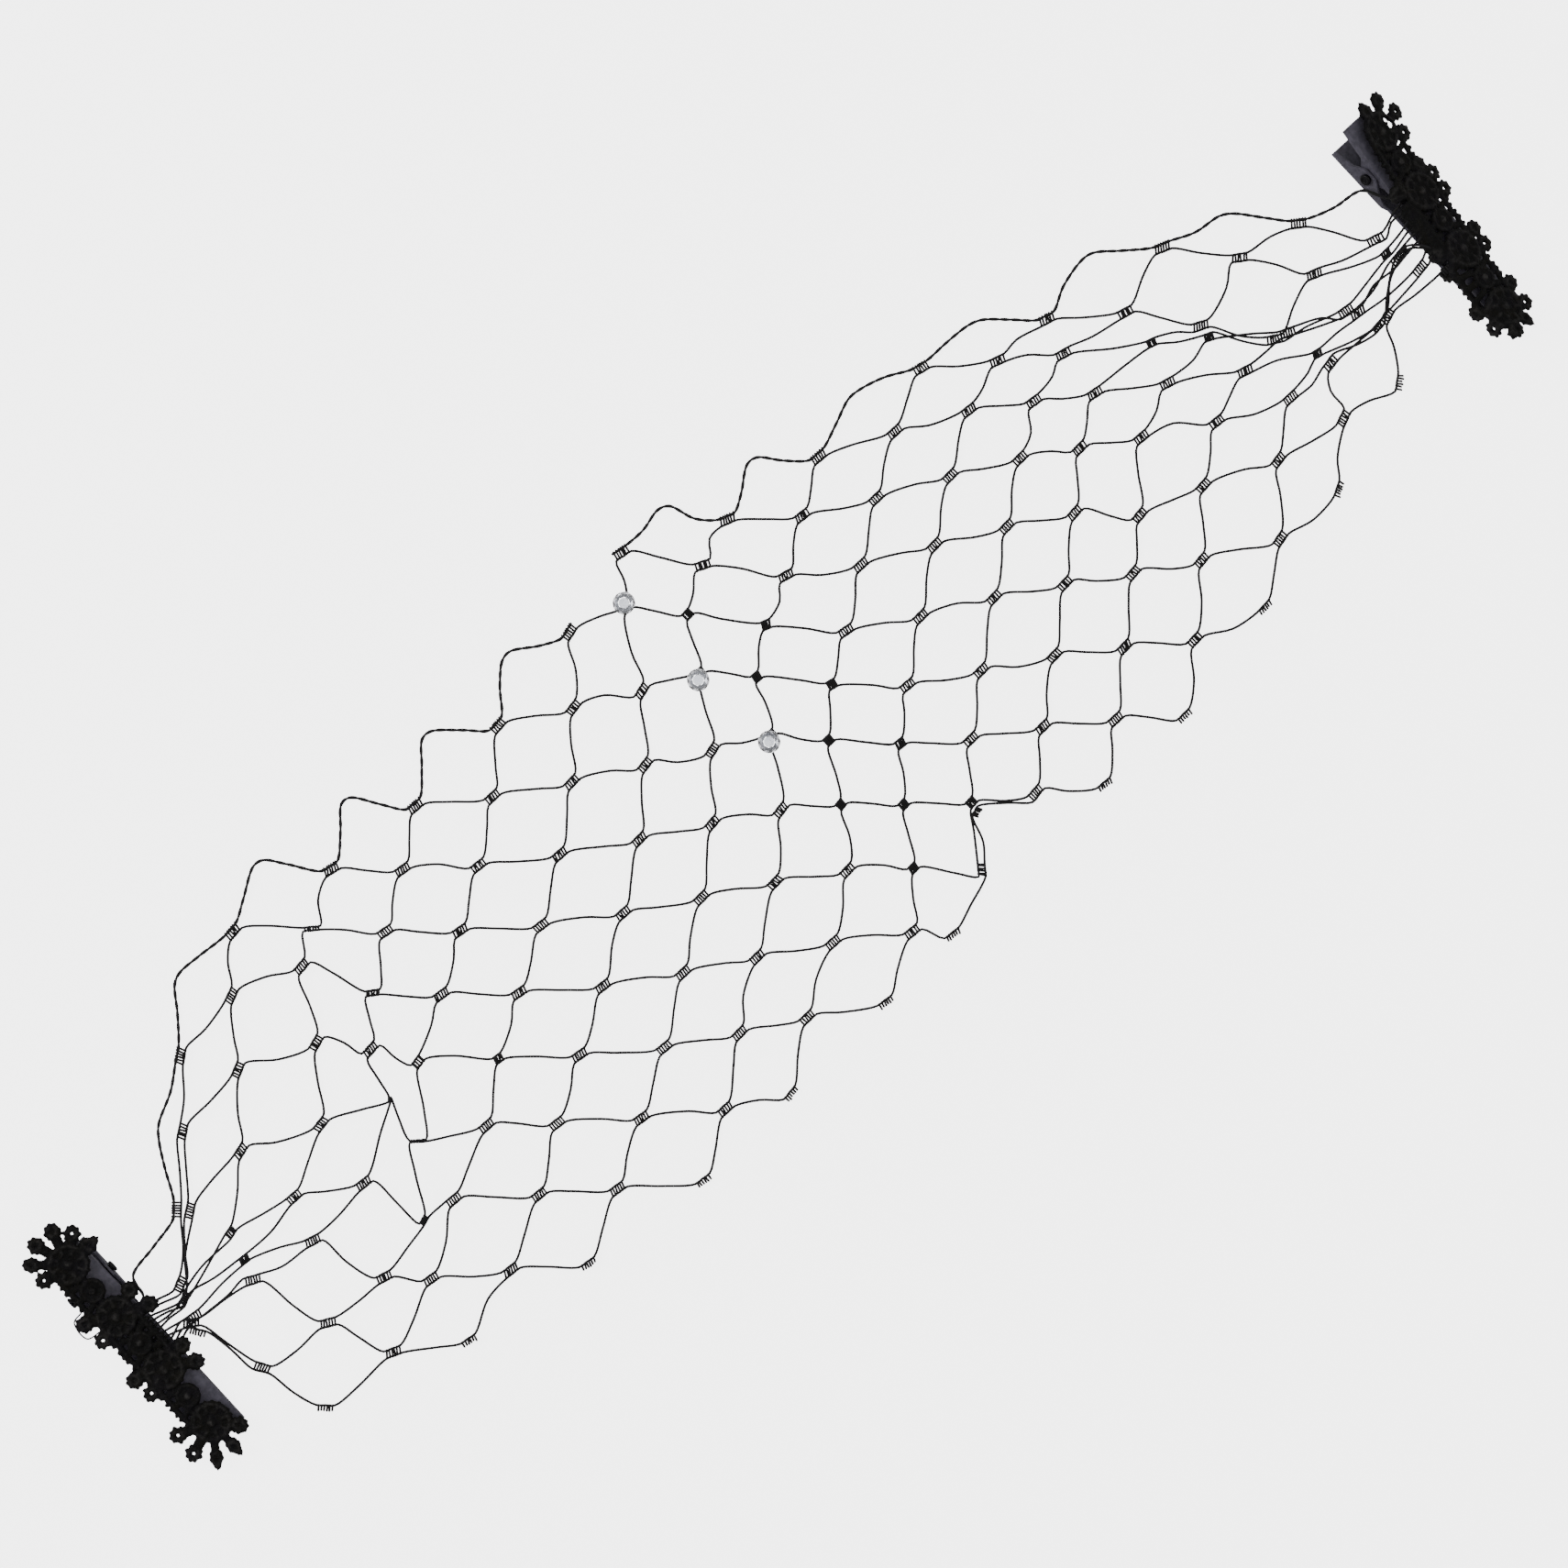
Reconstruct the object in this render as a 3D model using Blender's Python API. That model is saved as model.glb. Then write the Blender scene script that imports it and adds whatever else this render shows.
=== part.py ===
"""Birdcage veil: knotted diamond netting gathered into an alligator hair clip at each end.

The veil lies flat on a table, as it is laid out to be looked at. +X runs along the veil from
clip a to clip b, +Y runs across it towards the selvedge, and +Z is up. The origin is on the
table, under the middle of the whole veil. Lengths are in metres.
"""

from math import cos, exp, floor, hypot, pi, radians, sin, tan
from typing import NamedTuple

import bmesh
import bpy
from mathutils import Matrix, Vector

MM = 0.001

# Whole veil
CLIP_SPACING = 369.3 * MM
NET_WIDTH = 110.0 * MM
FIT_GAP = 0.3 * MM

# Netting
MESH_SIDE = 16.0 * MM
YARN_WIDTH = 0.6 * MM
YARN_HEIGHT = 0.6 * MM
SELVEDGE_WIDTH = 1.0 * MM
CORNER_ROUNDING = 1.5 * MM
KNOT_LENGTH = 4.2 * MM
KNOT_WIDTH = 1.6 * MM
SMALLEST_GAP = 30.0 * MM * MM
RIPPLE_HEIGHT = 2.4 * MM
RIPPLE_PITCH = 30.0 * MM
FOLD_REACH = 14.0 * MM
RISE_RUN = 15.0 * MM

# Gathered ends
TAB_WIDTH_A = 12.5 * MM
TAB_WIDTH_B = 18.0 * MM
TAB_DEPTH = 6.0 * MM
SWING_IN = 2.5 * MM
SWING_OUT = 5.0 * MM

# Alligator clips
CLIP_LENGTH = 54.8 * MM
LEVER_WIDTH = 9.2 * MM
LEVER_SHEET = 0.6 * MM
TAIL_LENGTH = 11.0 * MM
TAIL_SHORTER = 1.9 * MM
EAR_SHEET = 0.5 * MM
PIN_HEIGHT = 3.2 * MM
PIN_RADIUS = 0.8 * MM
PIN_BORE = 0.4 * MM
HEAD_RADIUS = 1.35 * MM
HEAD_LENGTH = 0.7 * MM
TIP_HEIGHT = 2.0 * MM
SHOULDER_HEIGHT = 5.6 * MM
TAIL_HEIGHT = 8.2 * MM
LIP_DEPTH = 1.0 * MM
LIP_RAMP = 6.0 * MM
EAR_RAMP = 2.5 * MM
FLARE_START = 6.6 * MM
FLARE_END = 5.0 * MM
EAR_SHOULDER = 2.6 * MM
TURN_A = radians(1.6)
TURN_B = radians(2.0)
ROLL_A = radians(0.0)
ROLL_B = radians(35.0)

# Lace trim
LACE_THICKNESS = 1.2 * MM
FLOWER_PITCH = 15.4 * MM
FLOWER_RADIUS = 5.0 * MM
PETAL_REACH = 8.6 * MM
PETAL_WIDTH = 3.4 * MM
PETAL_NECK = 2.0 * MM
PETAL_HOLE = 0.7 * MM
LACE_DROOP = 1.6 * MM
LACE_DROOP_RUN = 10.0 * MM
LACE_OFFSET_A = -0.6 * MM
LACE_OFFSET_B = -0.2 * MM
LACE_SHIFT_A = -0.1 * MM
LACE_SHIFT_B = -1.3 * MM
LACE_SKEW_A = radians(-1.0)
LACE_SKEW_B = radians(-5.0)

# Rhinestones
STONE_DIAMETER = 5.0 * MM
STONE_HEIGHT = 2.7 * MM
STONE_BASE_HEIGHT = 1.0 * MM
STONE_GIRDLE = 0.25 * MM
TABLE_RADIUS = 1.35 * MM
STONE_BASE_RADIUS = 1.3 * MM


class Section(NamedTuple):
    """One line of knots across the veil, from selvedge to cut edge.

    Along is a share of the clip spacing from the middle, across a share of the net's width from
    the line between the clips, and step the selvedge's reach past the next mesh, in mesh sides.
    """

    selvedge_along: float
    selvedge_across: float
    middle_along: float
    middle_across: float
    cut_along: float
    cut_across: float
    step: float


SECTIONS = (
    Section(-0.435, 0.151, -0.422, 0.018, -0.458, -0.195, 0.26),
    Section(-0.374, 0.376, -0.338, 0.020, -0.394, -0.343, 0.40),
    Section(-0.303, 0.494, -0.290, 0.043, -0.310, -0.373, 0.61),
    Section(-0.235, 0.460, -0.234, 0.045, -0.231, -0.390, 0.72),
    Section(-0.173, 0.445, -0.161, 0.018, -0.152, -0.411, 0.68),
    Section(-0.105, 0.458, -0.083, 0.020, -0.080, -0.380, 0.57),
    Section(-0.037, 0.505, -0.015, 0.054, 0.000, -0.388, 0.00),
    Section(0.017, 0.557, 0.033, 0.102, 0.055, -0.385, 0.44),
    Section(0.077, 0.469, 0.090, 0.068, 0.109, -0.340, 0.57),
    Section(0.142, 0.444, 0.163, 0.085, 0.173, -0.334, 0.34),
    Section(0.222, 0.444, 0.233, 0.106, 0.239, -0.318, 0.33),
    Section(0.297, 0.354, 0.291, 0.121, 0.316, -0.278, 0.46),
    Section(0.376, 0.311, 0.363, 0.068, 0.391, -0.180, 0.28),
    Section(0.446, 0.170, 0.435, -0.031, 0.450, -0.084, 0.00),
)


class Fold(NamedTuple):
    """A knot that a fold or pucker pulls aside, by shares of a mesh side."""

    section: float
    row: int
    along: float
    across: float
    lift: float


FOLDS = (
    Fold(0.5, 1, -0.20, 0.26, 0.10),
    Fold(0.5, 3, -0.10, 0.22, 0.12),
    Fold(0.5, 7, 0.04, 0.16, 0.10),
    Fold(1.0, 2, -0.12, 0.32, 0.06),
    Fold(1.0, 8, -0.18, -0.15, 0.12),
    Fold(1.5, 1, 0.00, 0.24, 0.00),
    Fold(1.5, 3, 0.14, 0.16, 0.00),
    Fold(1.5, 5, 0.30, -0.08, 0.18),
    Fold(1.5, 7, -0.19, -0.38, 0.22),
    Fold(1.5, 9, -0.21, 0.04, 0.06),
    Fold(1.5, 11, 0.31, 0.11, 0.00),
    Fold(2.0, 2, 0.19, 0.30, 0.00),
    Fold(2.0, 4, 0.08, 0.06, 0.20),
    Fold(2.0, 6, -0.22, -0.11, 0.16),
    Fold(2.0, 8, -0.22, 0.12, 0.00),
    Fold(2.5, 5, -0.16, 0.08, 0.00),
    Fold(6.5, 1, 0.10, 0.20, 0.00),
    Fold(6.5, 11, -0.37, 0.26, 0.00),
    Fold(7.5, 11, -0.26, 1.10, 0.12),
    Fold(10.5, 7, -0.09, -0.18, 0.00),
    Fold(10.5, 11, 0.03, 0.28, 0.00),
    Fold(11.5, 1, 0.06, -0.24, 0.08),
    Fold(11.5, 3, 0.19, -0.17, 0.16),
    Fold(11.5, 11, -0.08, 0.20, 0.00),
    Fold(12.0, 2, -0.07, -0.48, 0.10),
    Fold(12.5, 3, -0.21, -0.51, 0.06),
    Fold(12.5, 9, -0.19, 0.18, 0.00),
    Fold(12.5, 11, 0.00, -0.32, 0.00),
)

LAST_SECTION = len(SECTIONS) - 1
LAST_ROW = 11
CUT_ROW = 10
FIRST_HALF = 1
LAST_HALF = 2 * LAST_SECTION - 1
OPEN_STEP = 13
STONE_HALF = 13
STONE_ROWS = (1, 3, 5)


class Petal(NamedTuple):
    """A lace petal: its flower, its bearing from +X, its reach and width as shares, and its eyelet."""

    flower: int
    bearing: float
    reach: float
    width: float
    eyelet: float


PETALS_A = (
    Petal(0, 2.0, 1.00, 1.0, 0.0),
    Petal(0, 41.0, 1.02, 1.0, 1.0),
    Petal(0, 73.0, 1.15, 1.0, 0.0),
    Petal(0, 107.0, 1.16, 1.0, 0.0),
    Petal(0, 139.0, 1.15, 0.9, 0.0),
    Petal(0, 172.0, 0.96, 1.0, 1.0),
    Petal(1, 22.0, 1.00, 1.0, 0.0),
    Petal(1, -20.0, 1.13, 1.0, 0.0),
    Petal(1, 152.0, 1.06, 1.0, 0.0),
    Petal(1, -161.0, 0.92, 1.0, 1.0),
    Petal(2, 12.0, 1.00, 1.0, 0.0),
    Petal(2, -27.0, 1.06, 1.0, 0.0),
    Petal(2, 159.0, 1.02, 1.0, 0.0),
    Petal(2, -159.0, 0.91, 1.0, 1.0),
    Petal(3, 160.0, 1.14, 1.0, 0.0),
    Petal(3, -161.0, 1.15, 1.0, 1.0),
    Petal(3, -124.0, 1.22, 0.8, 0.0),
    Petal(3, -89.0, 1.12, 0.8, 0.0),
    Petal(3, -48.0, 0.94, 1.0, 0.0),
)
PETALS_B = (
    Petal(0, 100.0, 0.90, 1.0, 0.0),
    Petal(0, 57.0, 1.04, 1.0, 0.0),
    Petal(0, 15.0, 1.06, 1.0, 1.0),
    Petal(0, -27.0, 0.96, 1.0, 1.0),
    Petal(1, 52.0, 0.98, 1.0, 0.0),
    Petal(1, 18.0, 0.96, 1.0, 1.0),
    Petal(1, -22.0, 0.97, 1.0, 1.0),
    Petal(1, 155.0, 0.92, 1.0, 0.0),
    Petal(2, 20.0, 0.98, 1.0, 0.0),
    Petal(2, -16.0, 0.96, 1.0, 1.0),
    Petal(2, 159.0, 1.00, 1.0, 0.0),
    Petal(2, -160.0, 1.02, 1.0, 0.0),
    Petal(3, 33.0, 0.97, 1.0, 0.0),
    Petal(3, -18.0, 0.90, 1.0, 1.0),
    Petal(3, -60.0, 0.90, 0.8, 0.0),
    Petal(3, -102.0, 0.86, 1.0, 0.0),
    Petal(3, -154.0, 0.86, 1.0, 1.0),
    Petal(3, 158.0, 1.02, 1.0, 0.0),
)
FLOWERS = 4
FLOWER_SIDES = 20

# Places that follow from the sizes above
TAIL_END = CLIP_LENGTH / 2
TIP_END = -CLIP_LENGTH / 2
PIN_ALONG = TAIL_END - TAIL_LENGTH
EAR_INSIDE = LEVER_WIDTH / 2 + FIT_GAP
EAR_OUTSIDE = EAR_INSIDE + EAR_SHEET
HOLE_RADIUS = PIN_RADIUS + FIT_GAP
EAR_MARGIN = HOLE_RADIUS + 0.5 * MM
EAR_TOP = PIN_HEIGHT + HOLE_RADIUS + 0.4 * MM
EAR_BOTTOM = PIN_HEIGHT - HOLE_RADIUS - 0.2 * MM
LACE_CLEARANCE = FIT_GAP + YARN_HEIGHT + FIT_GAP


class Station(NamedTuple):
    """One cross-section of a channel lever in its clip's own frame."""

    along: float
    level: float
    lip_end: float
    half_width: float


def upper_top(along):
    """Height of the upper lever's outer face above the clip's base, extended straight past its ends."""
    line = (
        (TIP_END, TIP_HEIGHT),
        (PIN_ALONG - EAR_MARGIN, SHOULDER_HEIGHT),
        (TAIL_END, TAIL_HEIGHT),
    )
    first, second = (line[0], line[1]) if along < line[1][0] else (line[1], line[2])
    share = (along - first[0]) / (second[0] - first[0])
    return first[1] + (second[1] - first[1]) * share


class Clip(NamedTuple):
    """Where one clip lies: its name, middle, turn on the table, roll about its own length and
    the side that the net is on."""

    name: str
    middle: float
    turn: float
    roll: float
    net_side: int
    tab_width: float

    @property
    def lift(self):
        """The clip's base rises so that its lowest edge stays on the table."""
        return EAR_OUTSIDE * abs(sin(self.roll))

    def place(self):
        turned = Matrix.Rotation(self.turn, 4, "Z") @ Matrix.Rotation(self.roll, 4, "Y")
        return Matrix.Translation((self.middle, 0.0, self.lift)) @ turned

    def to_plan(self, point):
        """A place on the table, across and along the clip as it lies."""
        return Matrix.Rotation(-self.turn, 2) @ (point - Vector((self.middle, 0.0)))

    def from_plan(self, across, along):
        """The place on the table of a point across and along the clip."""
        return Matrix.Rotation(self.turn, 2) @ Vector((across, along)) + Vector((self.middle, 0.0))

    def deck_height(self, across, along):
        """World height of the plane that lies the fit gap above the upper lever."""
        level = upper_top(along) + FIT_GAP + YARN_HEIGHT / 2
        return self.lift + level / cos(self.roll) - tan(self.roll) * across

    def deck_edge(self, along):
        """How far across the clip the upper lever's edge on the net's side lies."""
        return self.net_side * LEVER_WIDTH / 2 * cos(self.roll) + upper_top(along) * sin(self.roll)


CLIP_A = Clip("a", -CLIP_SPACING / 2, TURN_A, ROLL_A, 1, TAB_WIDTH_A)
CLIP_B = Clip("b", CLIP_SPACING / 2, TURN_B, ROLL_B, -1, TAB_WIDTH_B)


def material(name, colour, roughness, metallic=0.0, transmission=0.0):
    """Principled material in the piece's own colour."""
    made = bpy.data.materials.get(name)
    if made:
        return made
    made = bpy.data.materials.new(name)
    made.use_nodes = True
    shader = made.node_tree.nodes["Principled BSDF"]
    shader.inputs["Base Color"].default_value = (*colour, 1.0)
    shader.inputs["Roughness"].default_value = roughness
    shader.inputs["Metallic"].default_value = metallic
    shader.inputs["Transmission Weight"].default_value = transmission
    return made


def make_object(name, mesh_maker, finish):
    """Link a new object whose mesh is the closed body that mesh_maker builds."""
    body = bmesh.new()
    mesh_maker(body)
    bmesh.ops.recalc_face_normals(body, faces=body.faces)
    mesh = bpy.data.meshes.new(name)
    body.to_mesh(mesh)
    body.free()
    mesh.materials.append(finish)
    made = bpy.data.objects.new(name, mesh)
    bpy.context.collection.objects.link(made)
    return made


# Netting: the lattice of knots


def between_sections(section, column):
    """A column of the section table at any section, on a smooth curve through the rows."""
    last = LAST_SECTION
    start = min(max(floor(section), 0), last - 1)
    share = section - start

    def row(index):
        if index < 0:
            return 2 * SECTIONS[0][column] - SECTIONS[1][column]
        if index > last:
            return 2 * SECTIONS[last][column] - SECTIONS[last - 1][column]
        return SECTIONS[index][column]

    before, here, there, after = (row(start + step) for step in (-1, 0, 1, 2))
    return 0.5 * (
        2 * here
        + (there - before) * share
        + (2 * before - 5 * here + 4 * there - after) * share**2
        + (3 * here - before - 3 * there + after) * share**3
    )


def net_point(section, row):
    """Place on the table of the lattice at a section and a row, before folds pull it aside."""
    share = row / CUT_ROW
    weights = (
        (1 - share) * (1 - 2 * share),
        4 * share * (1 - share),
        share * (2 * share - 1),
    )
    along = sum(weights[i] * between_sections(section, 2 * i) for i in range(3))
    across = sum(weights[i] * between_sections(section, 2 * i + 1) for i in range(3))
    return Vector((along * CLIP_SPACING, across * NET_WIDTH))


def knot_centre(half, row):
    """Place of a knot. Half counts half sections, so knots have half + row even."""
    centre = net_point(half / 2, row)
    for fold in FOLDS:
        if fold.section * 2 == half and fold.row == row:
            centre += Vector((fold.along, fold.across)) * MESH_SIDE
    return centre


def knot_end(half, row, side):
    """Left (-1) or right (+1) end of the ladder knot, which lies along the veil."""
    axis = net_point(half / 2 + 0.5, row) - net_point(half / 2 - 0.5, row)
    return knot_centre(half, row) + axis.normalized() * side * KNOT_LENGTH / 2


def step_corner(half, side):
    """Left (-1) or right (+1) end of the selvedge's rounded corner between two knots of row 0."""
    before, after = knot_centre(half - 1, 0), knot_centre(half + 1, 0)
    outward = Vector((before.y - after.y, after.x - before.x)).normalized()
    reach = SECTIONS[(half - 1) // 2].step * MESH_SIDE
    corner = net_point(half / 2, 0) + outward * reach
    leg = (after if side > 0 else before) - corner
    return corner + leg.normalized() * CORNER_ROUNDING


def tab_point(clip, share):
    """Point of the gathered tab's inner edge, share 0 on the selvedge side and 1 on the cut side."""
    along = clip.tab_width * (0.5 - share)
    return clip.from_plan(clip.deck_edge(along), along)


def tab_far_point(clip, share):
    """Point of the tab's far edge, on the lever under the lace."""
    along = clip.tab_width * (0.5 - share)
    return clip.from_plan(clip.deck_edge(along) - clip.net_side * TAB_DEPTH, along)


def net_height(x, y):
    """Height of the net's middle surface over the table."""
    level = YARN_HEIGHT / 2
    nearness = min(1.0, abs(x) / (0.42 * CLIP_SPACING)) ** 2
    wave = 0.5 * (1 + cos(2 * pi * y / RIPPLE_PITCH + 4 * x / CLIP_SPACING))
    level += RIPPLE_HEIGHT * nearness * wave
    for fold in FOLDS:
        if fold.lift:
            centre = net_point(fold.section, fold.row)
            away = hypot(x - centre.x, y - centre.y) / FOLD_REACH
            level += fold.lift * MESH_SIDE * exp(-away * away * 4)
    clip = CLIP_A if x < 0 else CLIP_B
    across, along = clip.to_plan(Vector((x, y)))
    edge = clip.deck_edge(along)
    outside = clip.net_side * (across - edge)
    if outside <= 0:
        return clip.deck_height(across, along)
    if outside < RISE_RUN:
        rise = 1 - outside / RISE_RUN
        rise = rise * rise * (3 - 2 * rise)
        level += (clip.deck_height(edge, along) - level) * rise
    return level


class Lattice:
    """Plan of the net: named points, the gaps between its yarns, and its outer edge."""

    def __init__(self):
        self.places = {}
        self.gaps = []
        self.filled = []
        self.list_gaps()

    def knot(self, half, row, side):
        key = ("knot", half, row, side)
        self.places.setdefault(key, knot_end(half, row, side))
        return key

    def corner(self, half):
        """The two ends of the selvedge's rounded outer corner, from right to left."""
        keys = [("corner", half, side) for side in (1, -1)]
        for key in keys:
            self.places.setdefault(key, step_corner(half, key[2]))
        return keys

    def swing(self, clip):
        """Where the selvedge swings wide before it turns in to the tab."""
        key = ("swing", clip.name)
        self.places[key] = tab_point(clip, 0.0) + Vector((clip.net_side * SWING_IN, SWING_OUT))
        return key

    def tab(self, clip, index):
        strands = LAST_ROW // 2 + 2
        key = ("tab", clip.name, index)
        self.places.setdefault(key, tab_point(clip, index / (strands - 1)))
        return key

    def strand(self, clip, index):
        """Middle of a gathered yarn between the outermost knots and the tab."""
        key = ("strand", clip.name, index)
        section = 0 if clip.net_side > 0 else LAST_SECTION
        row = min(max(2 * index - 1, 0), CUT_ROW)
        if key not in self.places:
            self.places[key] = net_point(section, row)
        return key

    def list_gaps(self):
        for half in range(FIRST_HALF + 1, LAST_HALF):
            for row in range(0, LAST_ROW):
                if (half + row) % 2 == 1:
                    self.add_mesh_gap(half, row)
        for clip, half in ((CLIP_A, FIRST_HALF), (CLIP_B, LAST_HALF)):
            for index in range(LAST_ROW // 2 + 1):
                self.gaps.append(self.fan_gap(clip, half, index))
            far = []
            for share in (1.0, 0.5, 0.0):
                key = ("far", clip.name, share)
                self.places[key] = tab_far_point(clip, share)
                far.append(key)
            near = [self.tab(clip, i) for i in range(LAST_ROW // 2 + 2)]
            self.filled.append(near + far)

    def add_mesh_gap(self, half, row):
        """The diamond gap whose left, top, right and bottom knots surround a place."""
        if row == 0 and half == OPEN_STEP:
            return
        lower = [
            self.knot(half - 1, row, 1),
            self.knot(half, row + 1, -1),
            self.knot(half, row + 1, 1),
            self.knot(half + 1, row, -1),
        ]
        if row == 0:
            self.gaps.append(lower + self.corner(half))
        else:
            upper = [self.knot(half, row - 1, 1), self.knot(half, row - 1, -1)]
            self.gaps.append(lower + upper)

    def fan_gap(self, clip, half, index):
        """The gap between two gathered yarns, from the outermost knots to the tab."""
        inward, outer = clip.net_side, -clip.net_side
        near_row, far_row, link_row = 2 * index - 1, 2 * index + 1, 2 * index
        if index == 0:
            ring = [self.tab(clip, 0), self.swing(clip), self.strand(clip, 0)]
            ring += self.corner(half)[::-inward]
        else:
            ring = [self.tab(clip, index), self.strand(clip, index)]
            ring += [self.knot(half, near_row, outer), self.knot(half, near_row, inward)]
        ring.append(self.knot(half + inward, link_row, outer))
        ring += [self.knot(half, far_row, inward), self.knot(half, far_row, outer)]
        ring += [self.strand(clip, index + 1), self.tab(clip, index + 1)]
        return ring

    def outer_edge(self):
        """Keys round the whole net, along the cut edge from clip a and back along the selvedge."""
        last = LAST_ROW // 2 + 1
        ring = [self.tab(CLIP_A, last), self.strand(CLIP_A, last)]
        for half in range(FIRST_HALF, LAST_HALF + 1):
            row = LAST_ROW if half % 2 else CUT_ROW
            ring += [self.knot(half, row, -1), self.knot(half, row, 1)]
        ring += [self.strand(CLIP_B, last), self.tab(CLIP_B, last)]
        ring += [("far", CLIP_B.name, share) for share in (1.0, 0.5, 0.0)]
        ring += [self.tab(CLIP_B, 0), self.swing(CLIP_B), self.strand(CLIP_B, 0)]
        for half in range(LAST_HALF, FIRST_HALF - 1, -2):
            if half == OPEN_STEP:
                ring += [self.knot(half, 1, 1), self.knot(half, 1, -1)]
            else:
                ring += self.corner(half)
            if half > FIRST_HALF:
                ring += [self.knot(half - 1, 0, 1), self.knot(half - 1, 0, -1)]
        ring += [self.strand(CLIP_A, 0), self.swing(CLIP_A), self.tab(CLIP_A, 0)]
        ring += [("far", CLIP_A.name, share) for share in (0.0, 0.5, 1.0)]
        return ring

    def half_width(self, first, second):
        """Half the width of the yarn between two named points."""
        if first[:3] == second[:3] and first[0] == "knot":
            return KNOT_WIDTH / 2
        if {"corner", "swing"} & {first[0], second[0]}:
            return SELVEDGE_WIDTH / 2
        return YARN_WIDTH / 2


def signed_area(ring):
    pairs = zip(ring, ring[1:] + ring[:1])
    return sum(a.x * b.y - b.x * a.y for a, b in pairs) / 2


def inset(ring, widths):
    """Points of a ring moved inwards (to its left) by each edge's own width."""
    moved = []
    count = len(ring)
    for i in range(count):
        before, here, after = ring[i - 1], ring[i], ring[(i + 1) % count]
        into, out = (here - before).normalized(), (after - here).normalized()
        normal_in, normal_out = Vector((-into.y, into.x)), Vector((-out.y, out.x))
        width_in, width_out = widths[i - 1], widths[i]
        turn = into.x * out.y - into.y * out.x
        if abs(turn) < 0.25:
            middle = (normal_in + normal_out).normalized()
            moved.append(here + middle * max(width_in, width_out))
            continue
        along = (width_out - width_in * normal_in.dot(normal_out)) / into.dot(normal_out)
        shift = normal_in * width_in + into * along
        longest = 2.5 * max(width_in, width_out)
        if shift.length > longest:
            shift = shift.normalized() * longest
        moved.append(here + shift)
    return moved


def is_open(ring, hole):
    """Whether a gap stays a clean opening once its yarns have their width."""
    if signed_area(hole) < SMALLEST_GAP:
        return False
    pairs = zip(zip(ring, ring[1:] + ring[:1]), zip(hole, hole[1:] + hole[:1]))
    return all((b - a).dot(d - c) > 0 for (a, b), (c, d) in pairs)


def build_netting(body):
    """The net as one solid: yarns and knots of even thickness round every gap."""
    lattice = Lattice()
    outer_keys = lattice.outer_edge()
    layers = {}

    def pair(key, place):
        """The lower and upper vertex of a place in the plan."""
        if key not in layers:
            height = net_height(place.x, place.y)
            low = body.verts.new((place.x, place.y, height - YARN_HEIGHT / 2))
            high = body.verts.new((place.x, place.y, height + YARN_HEIGHT / 2))
            layers[key] = (low, high)
        return layers[key]

    def plate(corners):
        body.faces.new([high for low, high in corners])
        body.faces.new([low for low, high in reversed(corners)])

    def rim(corners):
        for (low_a, high_a), (low_b, high_b) in zip(corners, corners[1:] + corners[:1]):
            body.faces.new((low_b, low_a, high_a, high_b))

    def band(keys, name, offset_ring):
        base = [pair(key, lattice.places[key]) for key in keys]
        edge = [pair((name, i), place) for i, place in enumerate(offset_ring)]
        for i in range(len(base)):
            j = (i + 1) % len(base)
            plate([base[i], base[j], edge[j], edge[i]])
        rim(edge)

    for number, keys in enumerate(lattice.gaps):
        ring = [lattice.places[key] for key in keys]
        if signed_area(ring) < 0:
            keys = keys[::-1]
            ring = ring[::-1]
        widths = [lattice.half_width(a, b) for a, b in zip(keys, keys[1:] + keys[:1])]
        hole = inset(ring, widths)
        if is_open(ring, hole):
            band(keys, ("gap", number), hole)
        else:
            plate([pair(key, place) for key, place in zip(keys, ring)])
    for keys in lattice.filled:
        ring = [lattice.places[key] for key in keys]
        if signed_area(ring) < 0:
            keys = keys[::-1]
            ring = ring[::-1]
        plate([pair(key, place) for key, place in zip(keys, ring)])
    outer_keys = outer_keys[::-1]
    ring = [lattice.places[key] for key in outer_keys]
    widths = [
        lattice.half_width(a, b) for a, b in zip(outer_keys, outer_keys[1:] + outer_keys[:1])
    ]
    band(outer_keys, "outside", inset(ring, widths))


# Clips


def loft_channel(body, stations, sheet, lips_up):
    """A stamped channel: a flat plate with a lip along each side, lofted through its stations."""
    loops = []
    for station in stations:
        half, level, lip_end = station.half_width, station.level, station.lip_end
        inner = level + sheet if lips_up else level - sheet
        outline = (
            (-half, lip_end),
            (-half, level),
            (half, level),
            (half, lip_end),
            (half - EAR_SHEET, lip_end),
            (half - EAR_SHEET, inner),
            (-half + EAR_SHEET, inner),
            (-half + EAR_SHEET, lip_end),
        )
        loops.append([body.verts.new((x, station.along, z)) for x, z in outline])
    for first, second in zip(loops, loops[1:]):
        for i in range(len(first)):
            j = (i + 1) % len(first)
            body.faces.new((first[i], first[j], second[j], second[i]))
    body.faces.new(loops[0])
    body.faces.new(loops[-1][::-1])


def upper_stations():
    half = LEVER_WIDTH / 2
    ear_start, ear_end = PIN_ALONG - EAR_MARGIN, PIN_ALONG + EAR_MARGIN
    tail_lip = 1.5 * LIP_DEPTH
    ends = (
        (TIP_END, 0.8 * LIP_DEPTH),
        (ear_start - LIP_RAMP, LIP_DEPTH),
        (ear_start - EAR_RAMP, tail_lip),
        (ear_start, None),
        (ear_end, None),
        (ear_end + EAR_RAMP, tail_lip),
        (TAIL_END, tail_lip),
    )
    for along, depth in ends:
        level = upper_top(along)
        lip_end = EAR_BOTTOM if depth is None else level - depth
        yield Station(along, level, lip_end, half)


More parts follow.
